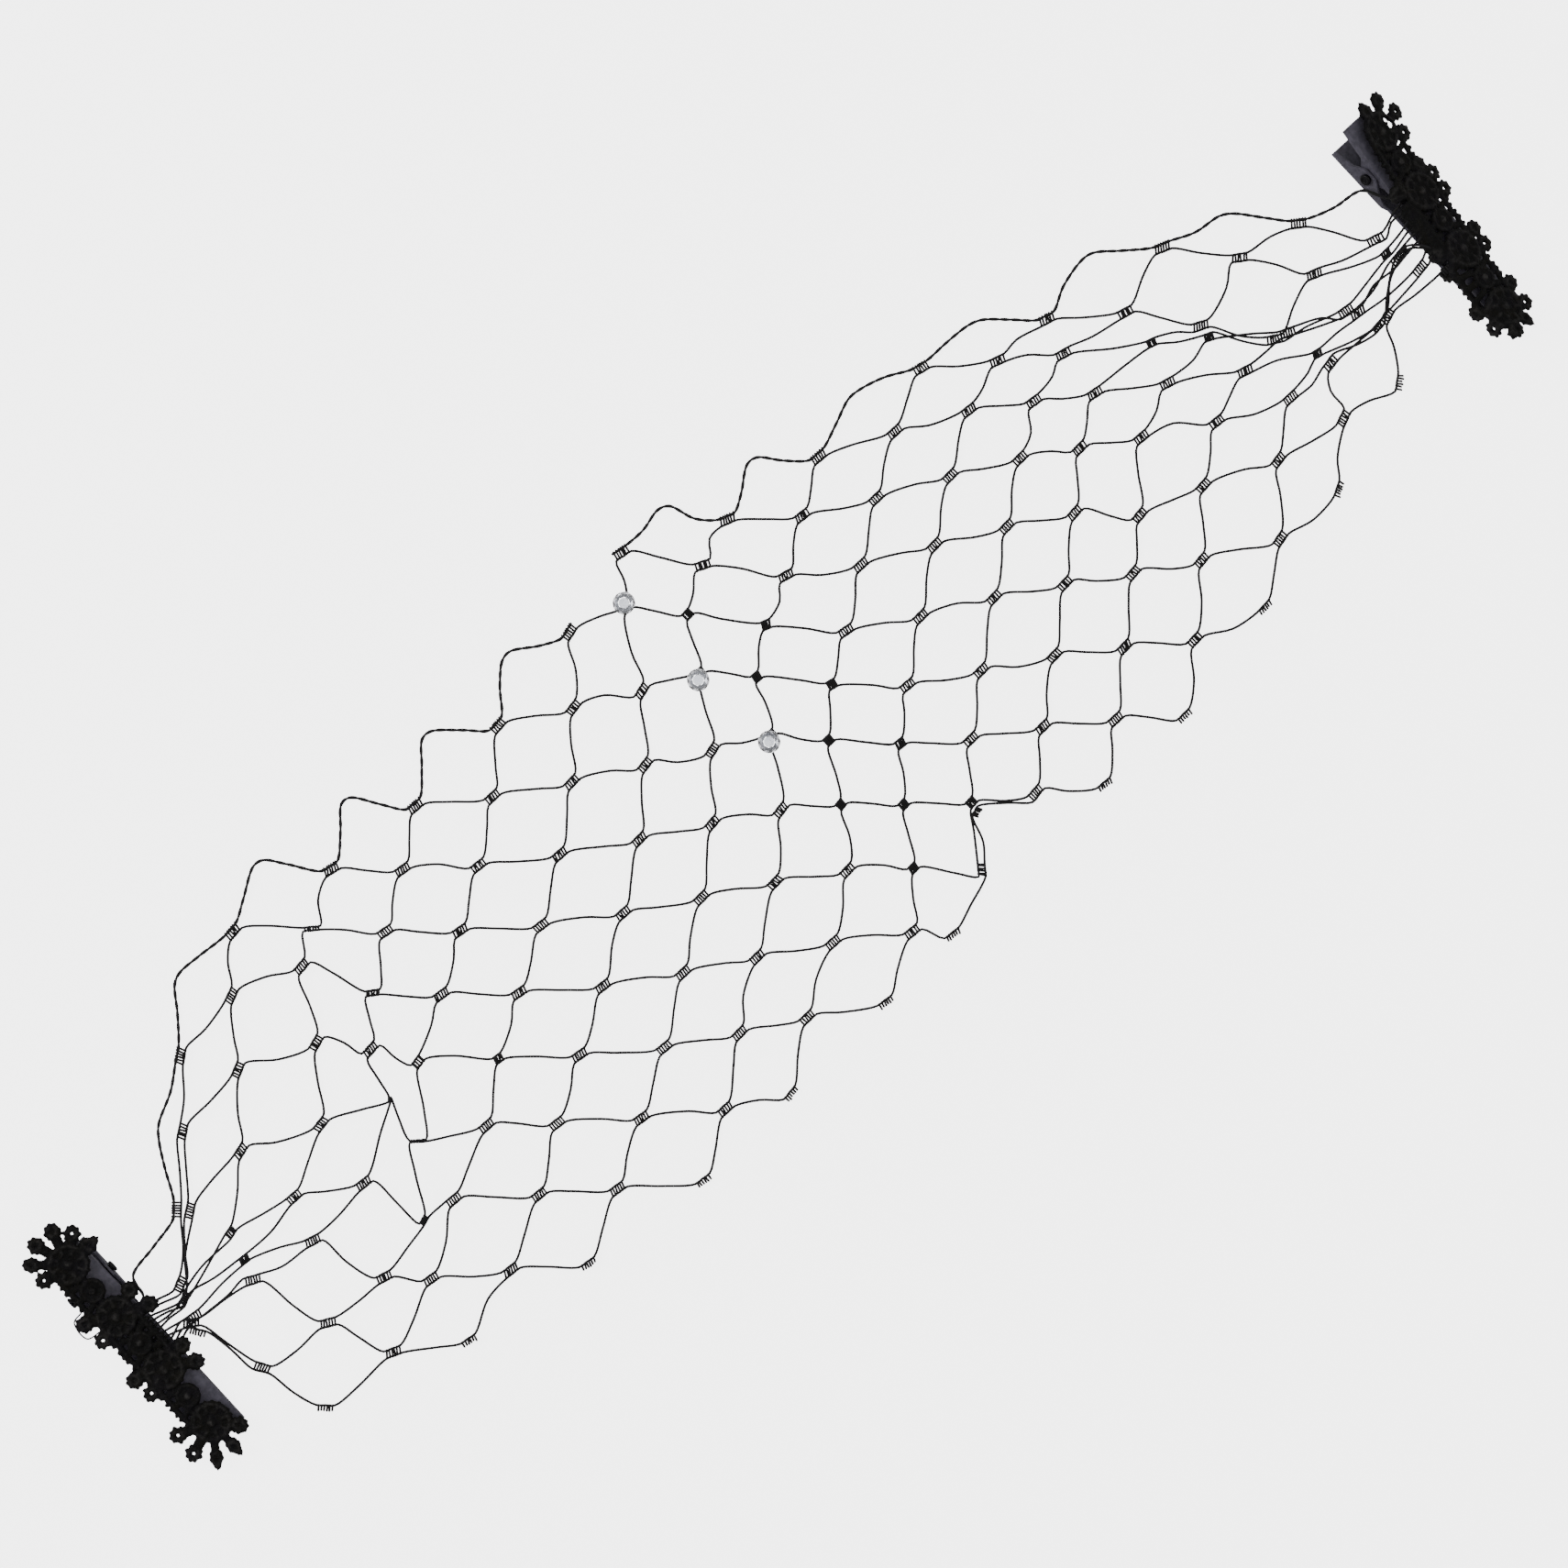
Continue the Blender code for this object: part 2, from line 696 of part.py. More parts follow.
def lower_stations():
    narrow, wide = LEVER_WIDTH / 2, EAR_OUTSIDE
    ear_start, ear_end = PIN_ALONG - EAR_MARGIN, PIN_ALONG + EAR_MARGIN
    low_lip, mid_lip = LEVER_SHEET + FIT_GAP, EAR_SHOULDER
    rows = (
        (TIP_END, low_lip, narrow),
        (ear_start - FLARE_START, low_lip, narrow),
        (ear_start - FLARE_END, low_lip + FIT_GAP, wide),
        (ear_start - EAR_RAMP, mid_lip, wide),
        (ear_start, EAR_TOP, wide),
        (ear_end, EAR_TOP, wide),
        (ear_end + EAR_RAMP, mid_lip, wide),
        (TAIL_END - TAIL_SHORTER, low_lip + FIT_GAP, wide),
    )
    for along, lip_end, half in rows:
        yield Station(along, 0.0, lip_end, half)


def drill(target, clip):
    """Cut the pin's hole through both side walls."""

    def rod(body):
        turn = Matrix.Rotation(pi / 2, 4, "Y")
        place = Matrix.Translation((0.0, PIN_ALONG, PIN_HEIGHT)) @ turn
        bmesh.ops.create_cone(
            body,
            cap_ends=True,
            segments=12,
            radius1=HOLE_RADIUS,
            radius2=HOLE_RADIUS,
            depth=4 * EAR_OUTSIDE,
            matrix=place,
        )

    cutter = make_object("cutter_" + target.name, rod, target.data.materials[0])
    cutter.matrix_world = clip.place()
    cutter.hide_render = True
    cutter.display_type = "WIRE"
    cut = target.modifiers.new("pin_hole", "BOOLEAN")
    cut.operation = "DIFFERENCE"
    cut.object = cutter


def build_pin(body):
    """A hollow rivet turned about its own axis, with a flared head outside each ear."""
    head_start = EAR_OUTSIDE + FIT_GAP
    head_end = head_start + HEAD_LENGTH
    bore_end = head_end - 1.4 * HEAD_LENGTH
    half = (
        (head_start, PIN_RADIUS),
        (head_start, HEAD_RADIUS),
        (head_end - 0.3 * HEAD_LENGTH, HEAD_RADIUS),
        (head_end, HEAD_RADIUS - 0.3 * HEAD_LENGTH),
        (head_end, PIN_BORE),
        (bore_end, PIN_BORE),
    )
    profile = [(-x, radius) for x, radius in reversed(half)] + list(half)
    sides = 12
    loops = []
    for x, radius in profile:
        loop = []
        for i in range(sides):
            angle = 2 * pi * i / sides
            y = PIN_ALONG + radius * cos(angle)
            loop.append(body.verts.new((x, y, PIN_HEIGHT + radius * sin(angle))))
        loops.append(loop)
    for first, second in zip(loops, loops[1:]):
        for i in range(sides):
            j = (i + 1) % sides
            body.faces.new((first[i], first[j], second[j], second[i]))
    body.faces.new(loops[0])
    body.faces.new(loops[-1][::-1])


# Lace


def build_lace(body, petals, offset, skew):
    """A chain of flowers with looped petals, laid over the upper lever."""

    def lay(point):
        """Turn a point of the flat lace onto the lever, with its edges drooping."""
        x = offset[0] + point.x * cos(skew) - point.y * sin(skew)
        y = offset[1] + point.x * sin(skew) + point.y * cos(skew)
        over = max(0.0, abs(x) - LEVER_WIDTH / 2) / LACE_DROOP_RUN
        base = upper_top(y) + LACE_CLEARANCE - LACE_DROOP * over * over
        low = body.verts.new((x, y, base))
        high = body.verts.new((x, y, base + LACE_THICKNESS))
        return low, high

    def plate(corners):
        body.faces.new([high for low, high in corners])
        body.faces.new([low for low, high in reversed(corners)])

    def wall(first, second):
        body.faces.new((second[0], first[0], first[1], second[1]))

    centres = [Vector((0.0, (1.5 - i) * FLOWER_PITCH)) for i in range(FLOWERS)]
    step = 2 * pi / FLOWER_SIDES
    rounds = []
    for centre in centres:
        ring = []
        for i in range(FLOWER_SIDES):
            angle = (i - 0.5) * step
            ring.append(lay(centre + FLOWER_RADIUS * Vector((cos(angle), sin(angle)))))
        plate(ring)
        rounds.append(ring)
    taken = set()
    for flower in range(FLOWERS - 1):
        down, up = 3 * FLOWER_SIDES // 4, FLOWER_SIDES // 4
        for shift in (-1, 0, 1):
            top, bottom = down + shift, up - shift
            a, b = rounds[flower][top], rounds[flower][(top + 1) % FLOWER_SIDES]
            c, d = rounds[flower + 1][bottom], rounds[flower + 1][(bottom + 1) % FLOWER_SIDES]
            plate([b, a, d, c])
            taken.update({(flower, top % FLOWER_SIDES), (flower + 1, bottom % FLOWER_SIDES)})
            if shift == -1:
                wall(d, a)
            if shift == 1:
                wall(b, c)
    for petal in petals:
        side = round(radians(petal.bearing) / step) % FLOWER_SIDES
        if (petal.flower, side) in taken:
            continue
        taken.add((petal.flower, side))
        a, b = rounds[petal.flower][side], rounds[petal.flower][(side + 1) % FLOWER_SIDES]
        add_petal(lay, plate, wall, centres[petal.flower], petal, a, b)
    for flower, ring in enumerate(rounds):
        for side in range(FLOWER_SIDES):
            if (flower, side) not in taken:
                wall(ring[side], ring[(side + 1) % FLOWER_SIDES])


def add_petal(lay, plate, wall, centre, petal, a, b):
    """One looped petal on the flower's edge from a to b, with or without an eyelet."""
    angle = radians(petal.bearing)
    out, side = Vector((cos(angle), sin(angle))), Vector((-sin(angle), cos(angle)))
    reach = PETAL_REACH * petal.reach
    half = PETAL_WIDTH * petal.width / 2
    middle = reach - half
    outline = [(FLOWER_RADIUS + 0.25 * (middle - FLOWER_RADIUS), -PETAL_NECK / 2)]
    outline += [(middle, -half), (middle + 0.75 * half, -0.7 * half)]
    outline += [(middle + 0.75 * half + 0.25 * half, 0.0)]
    outline += [(along, -across) for along, across in reversed(outline[:-1])]
    ring = [lay(centre + out * along + side * across) for along, across in outline]
    outer = [a] + ring + [b]
    if petal.eyelet:
        hole = []
        for i in range(len(outer)):
            turn = pi + 2 * pi * (i - 0.0) / len(outer) + pi / len(outer)
            place = out * (middle + PETAL_HOLE * cos(turn)) + side * PETAL_HOLE * sin(turn)
            hole.append(lay(centre + place))
        for i in range(len(outer)):
            j = (i + 1) % len(outer)
            plate([outer[i], outer[j], hole[j], hole[i]])
            wall(hole[j], hole[i])
    else:
        plate(outer)
    for first, second in zip(outer, outer[1:]):
        wall(first, second)


# Rhinestones


def build_stone(body):
    """Round cut stone on its flat base: eight main facets, stars and halves round a table."""
    radius = STONE_DIAMETER / 2
    crown = STONE_HEIGHT - STONE_BASE_HEIGHT - STONE_GIRDLE

    def ring(count, size, height, turn):
        points = []
        for i in range(count):
            angle = 2 * pi * (i + turn) / count
            points.append(body.verts.new((size * cos(angle), size * sin(angle), height)))
        return points

    base = ring(8, STONE_BASE_RADIUS, 0.0, 0.0)
    low = ring(16, radius, STONE_BASE_HEIGHT, 0.0)
    high = ring(16, radius, STONE_BASE_HEIGHT + STONE_GIRDLE, 0.0)
    waist = TABLE_RADIUS + 0.55 * (radius - TABLE_RADIUS)
    kite = ring(8, waist, STONE_BASE_HEIGHT + STONE_GIRDLE + 0.55 * crown, 0.5)
    table = ring(8, TABLE_RADIUS, STONE_HEIGHT, 0.0)
    body.faces.new(base[::-1])
    body.faces.new(table)
    for i in range(16):
        body.faces.new((low[i], low[(i + 1) % 16], high[(i + 1) % 16], high[i]))
    for i in range(8):
        after = (i + 1) % 8
        one, two, three = 2 * i, 2 * i + 1, (2 * i + 2) % 16
        body.faces.new((base[i], base[after], low[three], low[two], low[one]))
        body.faces.new((table[i], kite[i], table[after]))
        body.faces.new((high[one], high[two], kite[i]))
        body.faces.new((high[two], high[three], kite[i]))
        body.faces.new((high[one], kite[i], table[i]))
        body.faces.new((high[three], table[after], kite[i]))


def main():
    for old in list(bpy.data.objects):
        bpy.data.objects.remove(old)

    net_black = material("net_yarn_black", (0.012, 0.011, 0.013), 0.75)
    lace_black = material("lace_thread_black", (0.02, 0.019, 0.022), 0.85)
    clip_black = material("clip_enamel_black", (0.03, 0.028, 0.036), 0.35, metallic=0.6)
    stone_clear = material("rhinestone_clear", (0.9, 0.92, 0.95), 0.02, transmission=1.0)

    make_object("netting", build_netting, net_black)

    for clip, petals, offset, skew in (
        (CLIP_A, PETALS_A, (LACE_OFFSET_A, LACE_SHIFT_A), LACE_SKEW_A),
        (CLIP_B, PETALS_B, (LACE_OFFSET_B, LACE_SHIFT_B), LACE_SKEW_B),
    ):
        upper = make_object(
            "upper_lever_" + clip.name,
            lambda body: loft_channel(body, list(upper_stations()), LEVER_SHEET, False),
            clip_black,
        )
        lower = make_object(
            "lower_lever_" + clip.name,
            lambda body: loft_channel(body, list(lower_stations()), LEVER_SHEET, True),
            clip_black,
        )
        pin = make_object("hinge_pin_" + clip.name, build_pin, clip_black)
        lace = make_object(
            "lace_trim_" + clip.name,
            lambda body: build_lace(body, petals, offset, skew),
            lace_black,
        )
        for piece in (upper, lower, pin, lace):
            piece.matrix_world = clip.place()
        for piece in (upper, lower):
            drill(piece, clip)

    for number, row in enumerate(STONE_ROWS, start=1):
        centre = knot_centre(STONE_HALF, row)
        seat = net_height(centre.x, centre.y) + YARN_HEIGHT / 2 + FIT_GAP
        stone = make_object(f"rhinestone_{number}", build_stone, stone_clear)
        stone.matrix_world = Matrix.Translation((centre.x, centre.y, seat))

    centre_all()


def centre_all():
    """Move every piece alike, so that the origin is under the middle of the whole veil."""
    corners = [
        piece.matrix_world @ vertex.co
        for piece in bpy.data.objects
        if not piece.hide_render
        for vertex in piece.data.vertices
    ]
    middle = Vector(
        (
            (min(c.x for c in corners) + max(c.x for c in corners)) / 2,
            (min(c.y for c in corners) + max(c.y for c in corners)) / 2,
            0.0,
        )
    )
    for piece in bpy.data.objects:
        piece.matrix_world = Matrix.Translation(-middle) @ piece.matrix_world


if __name__ == "__main__":
    main()
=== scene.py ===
"""Birdcage veil, dressed: knotted yarn net, lace trims, enamelled clips and cut stones.

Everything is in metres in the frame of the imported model: +X runs along the veil from clip a to
clip b, +Y across it towards the selvedge, and +Z up from the table.
"""

from __future__ import annotations

import logging
import random
from dataclasses import dataclass, field
from enum import Enum
from math import atan2, cos, exp, floor, hypot, pi, radians, sin, tan
from typing import Callable, NamedTuple

import bmesh
import bpy
from mathutils import Matrix, Vector, noise


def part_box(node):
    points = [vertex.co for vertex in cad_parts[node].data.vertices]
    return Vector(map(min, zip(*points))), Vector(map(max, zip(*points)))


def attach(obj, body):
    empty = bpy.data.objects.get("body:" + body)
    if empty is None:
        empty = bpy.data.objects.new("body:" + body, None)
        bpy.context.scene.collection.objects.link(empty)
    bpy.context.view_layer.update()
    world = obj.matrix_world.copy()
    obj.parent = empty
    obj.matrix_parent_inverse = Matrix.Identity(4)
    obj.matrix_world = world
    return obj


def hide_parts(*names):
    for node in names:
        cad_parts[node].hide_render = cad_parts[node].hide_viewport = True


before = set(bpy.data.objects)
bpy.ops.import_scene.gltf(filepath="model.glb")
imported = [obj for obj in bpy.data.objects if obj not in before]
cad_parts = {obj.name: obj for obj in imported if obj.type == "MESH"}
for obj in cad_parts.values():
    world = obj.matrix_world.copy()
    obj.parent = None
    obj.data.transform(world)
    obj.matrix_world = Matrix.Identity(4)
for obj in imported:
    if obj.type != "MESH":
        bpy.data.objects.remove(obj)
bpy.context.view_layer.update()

MM = 0.001
LOG = logging.getLogger("veil")


# Tables read off the photograph


class Section(NamedTuple):
    """One line of knots across the veil, as shares of the clip spacing and of the net's width."""

    selvedge_along: float
    selvedge_across: float
    middle_along: float
    middle_across: float
    cut_along: float
    cut_across: float
    step: float


SECTIONS = tuple(
    Section(*row)
    for row in (
        (-0.435, 0.151, -0.422, 0.018, -0.458, -0.195, 0.26),
        (-0.374, 0.376, -0.338, 0.020, -0.394, -0.343, 0.40),
        (-0.303, 0.494, -0.290, 0.043, -0.310, -0.373, 0.61),
        (-0.235, 0.460, -0.234, 0.045, -0.231, -0.390, 0.72),
        (-0.173, 0.445, -0.161, 0.018, -0.152, -0.411, 0.68),
        (-0.105, 0.458, -0.083, 0.020, -0.080, -0.380, 0.57),
        (-0.037, 0.505, -0.015, 0.054, 0.000, -0.388, 0.00),
        (0.017, 0.557, 0.033, 0.102, 0.055, -0.385, 0.44),
        (0.077, 0.469, 0.090, 0.068, 0.109, -0.340, 0.57),
        (0.142, 0.444, 0.163, 0.085, 0.173, -0.334, 0.34),
        (0.222, 0.444, 0.233, 0.106, 0.239, -0.318, 0.33),
        (0.297, 0.354, 0.291, 0.121, 0.316, -0.278, 0.46),
        (0.376, 0.311, 0.363, 0.068, 0.391, -0.180, 0.28),
        (0.446, 0.170, 0.435, -0.031, 0.450, -0.084, 0.00),
    )
)

# A knot's key is its half section along the veil and its row across it
# How far folds pull a knot along and across, and how high they lift it, by shares of a mesh side
FOLDS = {
    (1, 1): (-0.20, 0.26, 0.10), (1, 3): (-0.10, 0.22, 0.12), (1, 7): (0.04, 0.16, 0.10),
    (2, 2): (-0.12, 0.32, 0.06), (2, 8): (-0.18, -0.15, 0.12), (3, 1): (0.00, 0.24, 0.00),
    (3, 3): (0.14, 0.16, 0.00), (3, 5): (0.35, 0.06, 0.18), (3, 7): (-0.19, -0.38, 0.22),
    (3, 9): (-0.21, 0.04, 0.06), (3, 11): (0.31, 0.11, 0.00), (4, 2): (0.19, 0.30, 0.00),
    (4, 4): (0.08, 0.06, 0.20), (4, 6): (-0.22, -0.11, 0.16), (4, 8): (-0.22, 0.12, 0.00),
    (5, 5): (-0.16, 0.08, 0.00), (13, 1): (0.10, 0.20, 0.00), (13, 11): (-0.37, 0.26, 0.00),
    (15, 11): (-0.26, 1.10, 0.12), (21, 7): (-0.09, -0.18, 0.00), (21, 11): (0.03, 0.28, 0.00),
    (23, 1): (0.06, -0.24, 0.08), (23, 3): (0.19, -0.17, 0.16), (23, 11): (-0.08, 0.20, 0.00),
    (24, 2): (-0.07, -0.48, 0.10), (25, 3): (-0.21, -0.51, 0.06), (25, 9): (-0.19, 0.18, 0.00),
    (25, 11): (0.00, -0.32, 0.00),
}

# Knots drawn in to a clip: millimetres along and across from that clip's middle
GATHERED = {
    (-1, 1): (14.1, 3.9), (-1, 3): (12.8, 0.9), (-1, 5): (12.8, 0.9), (-1, 7): (11.6, -3.5),
    (-1, 9): (10.3, -4.1), (-1, 11): (9.9, -6.7), (0, 0): (24.0, 16.6), (0, 2): (26.0, 14.6),
    (0, 4): (29.7, 5.2), (0, 6): (27.9, -1.2), (0, 8): (26.3, -5.8), (0, 10): (15.6, -21.5),
    (26, 0): (-20.1, 18.7), (26, 2): (-24.5, 8.2), (26, 4): (-24.7, -2.4), (26, 6): (-23.0, -4.4),
    (26, 8): (-21.9, -9.6), (26, 10): (-18.7, -9.2), (27, 1): (-9.9, 5.1), (27, 3): (-10.2, 1.2),
    (27, 5): (-9.0, -1.2), (27, 7): (-7.1, -6.0), (27, 9): (-7.9, -1.1), (27, 11): (-3.2, -10.3),
}

# Squeezed ladders: shares of the ladder's length and width, and its turn in degrees
PINCHES = {
    (13, 1): (0.60, 1.00, -12.0), (13, 3): (0.60, 1.00, -12.0), (13, 5): (0.60, 1.00, -12.0),
    (14, 2): (0.62, 1.05, 10.0), (14, 4): (0.55, 1.10, 0.0), (14, 6): (0.58, 1.10, 0.0),
    (15, 3): (0.58, 1.10, 0.0), (15, 5): (0.60, 1.10, 0.0), (15, 7): (0.65, 1.05, 0.0),
    (13, 7): (0.55, 1.05, 0.0), (13, 9): (0.60, 1.00, 0.0), (14, 8): (0.60, 1.05, 0.0),
    (14, 10): (0.75, 0.90, 45.0), (15, 9): (0.65, 1.05, 0.0), (15, 11): (0.60, 0.90, 0.0),
    (3, 5): (0.25, 0.20, 40.0), (3, 7): (0.60, 0.60, 20.0), (4, 6): (0.90, 0.25, -40.0),
    (5, 1): (1.00, 0.50, -28.0), (5, 3): (0.85, 0.70, -30.0), (5, 5): (0.75, 1.00, 12.0),
    (6, 6): (0.60, 1.00, 0.0), (23, 3): (0.60, 0.90, 0.0), (24, 4): (0.60, 0.90, 0.0),
    (25, 7): (0.60, 0.90, 0.0), (26, 8): (0.70, 0.70, 0.0), (27, 3): (0.60, 0.90, 0.0),
    (27, 9): (0.90, 0.50, 0.0), (-1, 3): (0.80, 0.70, 0.0), (-1, 5): (0.80, 0.70, 25.0),
    (0, 6): (0.65, 0.90, 0.0), (0, 4): (0.70, 0.90, 0.0),
}

# Selvedge beside each clip, and stray threads beside clip a, in millimetres
LEAD_A = ((6.5, 7.1), (7.7, 11.9))
LEAD_B = ((-5.8, 15.1), (-3.1, 10.6))
STRAYS = (
    ((-4.9, 15.6), (-5.3, 13.6), (-8.1, 12.9), (-8.5, 8.4), (-5.0, 7.6)),
    ((4.3, 26.6), (5.1, 25.0), (6.2, 23.8), (6.4, 22.5), (7.5, 22.9)),
)


class PetalKind(Enum):
    """How the inside of a lace petal's loop is worked."""

    FILLED = "filled"
    EYELET = "eyelet"
    LEAF = "leaf"


FILLED, EYELET, LEAF = PetalKind


class Petal(NamedTuple):
    """A lace petal: its flower, bearing from +X in degrees, reach share, kind and width share."""

    flower: int
    bearing: float
    reach: float
    kind: PetalKind
    width: float = 1.0


PETALS_A = tuple(
    Petal(*row)
    for row in (
        (0, 2.0, 1.00, LEAF), (0, 41.0, 1.02, EYELET), (0, 73.0, 1.15, FILLED),
        (0, 107.0, 1.16, FILLED), (0, 139.0, 1.15, FILLED, 0.9), (0, 172.0, 0.96, EYELET),
        (1, 22.0, 1.00, FILLED), (1, -20.0, 1.13, FILLED), (1, 152.0, 1.06, FILLED),
        (1, -161.0, 0.92, EYELET), (2, 12.0, 1.00, FILLED), (2, -27.0, 1.06, FILLED),
        (2, 159.0, 1.02, FILLED), (2, -159.0, 0.91, EYELET), (3, 160.0, 1.14, EYELET),
        (3, -161.0, 1.15, EYELET), (3, -124.0, 1.22, LEAF, 0.8), (3, -89.0, 1.12, LEAF, 0.8),
        (3, -48.0, 0.94, FILLED),
    )
)
PETALS_B = tuple(
    Petal(*row)
    for row in (
        (0, 100.0, 0.90, LEAF), (0, 57.0, 1.04, FILLED), (0, 15.0, 1.06, EYELET),
        (0, -27.0, 0.96, EYELET), (1, 52.0, 0.98, FILLED), (1, 18.0, 0.96, EYELET),
        (1, -22.0, 0.97, EYELET), (1, 155.0, 0.92, FILLED), (2, 20.0, 0.98, FILLED),
        (2, -16.0, 0.96, EYELET), (2, 159.0, 1.00, FILLED), (2, -160.0, 1.02, FILLED),
        (3, 33.0, 0.97, FILLED), (3, -18.0, 0.90, EYELET), (3, -60.0, 0.90, LEAF, 0.8),
        (3, -102.0, 0.86, FILLED), (3, -154.0, 0.86, EYELET), (3, 158.0, 1.02, FILLED),
    )
)

# Sides, -1 and +1 across the clip, that each junction between flowers has a border on
BORDERS_A = ((-1.0,), (-1.0, 1.0), (-1.0,))
BORDERS_B = ((-1.0, 1.0), (-1.7, 1.0), (-1.25, 1.0))

# Larger openings in the lace: across and along the flat lace and radius, in millimetres
OPENINGS_A = ((-1.4, 3.4, 0.45),)
OPENINGS_B = ((3.3, 23.4, 0.95), (2.9, 24.7, 0.7))


# Materials

Colour = tuple[float, float, float]
Tints = tuple[Colour, Colour, Colour]
Settings = tuple[tuple[str, float], ...]
BLACK = (0.0, 0.0, 0.0, 1.0)
WHITE = (1.0, 1.0, 1.0, 1.0)


class Wiring:
    """Adds nodes to one node tree and links them."""

    def __init__(self, tree: bpy.types.NodeTree) -> None:
        """Keep the tree that the nodes go into."""
        self.tree = tree

    def feed(self, node: bpy.types.Node, inputs: dict[str | int, object]) -> None:
        """Give some of a node's inputs their values.

        Args:
            node: the node.
            inputs: for each input a plain value, or an output to link.
        """
        for label, value in inputs.items():
            if isinstance(value, bpy.types.NodeSocket):
                self.tree.links.new(value, node.inputs[label])
            else:
                node.inputs[label].default_value = value

    def add(self, kind: str, inputs: dict[str | int, object], **settings: object) -> bpy.types.Node:
        """Add a node.

        Args:
            kind: the node's type name.
            inputs: for each input that is set a plain value, or an output to link.
            settings: the node's own properties.

        Returns:
            The new node.
        """
        node = self.tree.nodes.new(kind)
        for name, value in settings.items():
            setattr(node, name, value)
        self.feed(node, inputs)
        return node

    def math(self, operation: str, *values: object) -> bpy.types.NodeSocket:
        """Result of an operation on one or two outputs or numbers."""
        return self.add("ShaderNodeMath", dict(enumerate(values)), operation=operation).outputs[0]

    def noise(self, place: object, scale: object, detail: float = 2.0) -> bpy.types.NodeSocket:
        """Noise of a scale at a place."""
        inputs = {"Vector": place, "Scale": scale, "Detail": detail}
        return self.add("ShaderNodeTexNoise", inputs).outputs["Fac"]

    def spread(
        self,
        value: bpy.types.NodeSocket,
        source: tuple[float, float],
        target: tuple[float, float] = (0.0, 1.0),
        kind: str = "LINEAR",
    ) -> bpy.types.NodeSocket:
        """Map a value from one range to another, and hold it inside.

        Args:
            value: the value.
            source: the range that it comes from.
            target: the range that it goes to.
            kind: the interpolation.

        Returns:
            The mapped value.
        """
        inputs = {"Value": value, "From Min": source[0], "From Max": source[1]}
        inputs.update({"To Min": target[0], "To Max": target[1]})
        return self.add("ShaderNodeMapRange", inputs, interpolation_type=kind).outputs["Result"]

    def mix(self, share: object, first: object, second: object) -> bpy.types.NodeSocket:
        """Mix two colours."""
        inputs = {"Factor": share, "A": first, "B": second}
        return self.add("ShaderNodeMix", inputs, data_type="RGBA").outputs["Result"]

    def group(self, tree: bpy.types.NodeTree, inputs: dict[str, object]) -> bpy.types.NodeSocket:
        """First output of a node group."""
        return self.add("ShaderNodeGroup", inputs, node_tree=tree).outputs[0]

    def mark(self, name: str) -> bpy.types.NodeSocket:
        """A mesh attribute's value."""
        return self.add("ShaderNodeAttribute", {}, attribute_name=name).outputs["Fac"]

    def uv(self) -> bpy.types.NodeSocket:
        """The mesh's UV map."""
        return self.add("ShaderNodeUVMap", {}, uv_map="UVMap").outputs["UV"]


def shader_group(
    name: str,
    inputs: dict[str, float | tuple[float, ...] | None],
    output: str,
    wire: Callable[[Wiring, bpy.types.NodeOutputs], bpy.types.NodeSocket],
) -> bpy.types.NodeTree:
    """Make a shader node group, or give the one that is there already.

    Args:
        name: the group's name.
        inputs: default of each input: a number, a colour, or nothing for a vector.
        output: socket type of its one output.
        wire: called with the wiring and the group's inputs, and gives what goes out.

    Returns:
        The node group.
    """
    group = bpy.data.node_groups.get(name)
    if group:
        return group
    group = bpy.data.node_groups.new(name, "ShaderNodeTree")
    for label, value in inputs.items():
        kind = "Vector" if value is None else "Color" if isinstance(value, tuple) else "Float"
        socket = group.interface.new_socket(
            label, in_out="INPUT", socket_type="NodeSocket" + kind
        )
        if value is not None:
            socket.default_value = value
    group.interface.new_socket("Result", in_out="OUTPUT", socket_type=output)
    wiring = Wiring(group)
    result = wire(wiring, wiring.add("NodeGroupInput", {}).outputs)
    wiring.add("NodeGroupOutput", {"Result": result})
    return group


def mottle_group() -> bpy.types.NodeTree:
    """Group that drifts a colour towards two tints in soft patches of its own size.

    Returns:
        The node group.
    """

    def wire(wiring: Wiring, given: bpy.types.NodeOutputs) -> bpy.types.NodeSocket:
        """Two noises of different size, each mixing in one tint."""
        colour = given["Colour"]
        for tint, size in (("Warm", 1.0), ("Cool", 0.63)):
            scale = wiring.math("MULTIPLY", given["Scale"], size)
            patches = wiring.noise(given["Vector"], scale, 3.0)
            edge = wiring.spread(patches, (0.45, 0.68), kind="SMOOTHSTEP")
            share = wiring.math("MULTIPLY", edge, given["Amount"])
            colour = wiring.mix(share, colour, given[tint])
        return colour

    inputs = {"Vector": None, "Scale": 500.0, "Amount": 0.5}
    inputs.update({"Colour": BLACK, "Warm": BLACK, "Cool": BLACK})
    return shader_group("tint mottle", inputs, "NodeSocketColor", wire)


def grain_group() -> bpy.types.NodeTree:
    """Group that gives a fine grain as a height.

    Returns:
        The node group.
    """

    def wire(wiring: Wiring, given: bpy.types.NodeOutputs) -> bpy.types.NodeSocket:
        """One coarse and one fine noise, added."""
        coarse = wiring.noise(given["Vector"], given["Scale"], 4.0)
        fine = wiring.noise(given["Vector"], wiring.math("MULTIPLY", given["Scale"], 3.7))
        return wiring.math("ADD", coarse, wiring.math("MULTIPLY", fine, 0.35))

    return shader_group("fine grain", {"Vector": None, "Scale": 2000.0}, "NodeSocketFloat", wire)


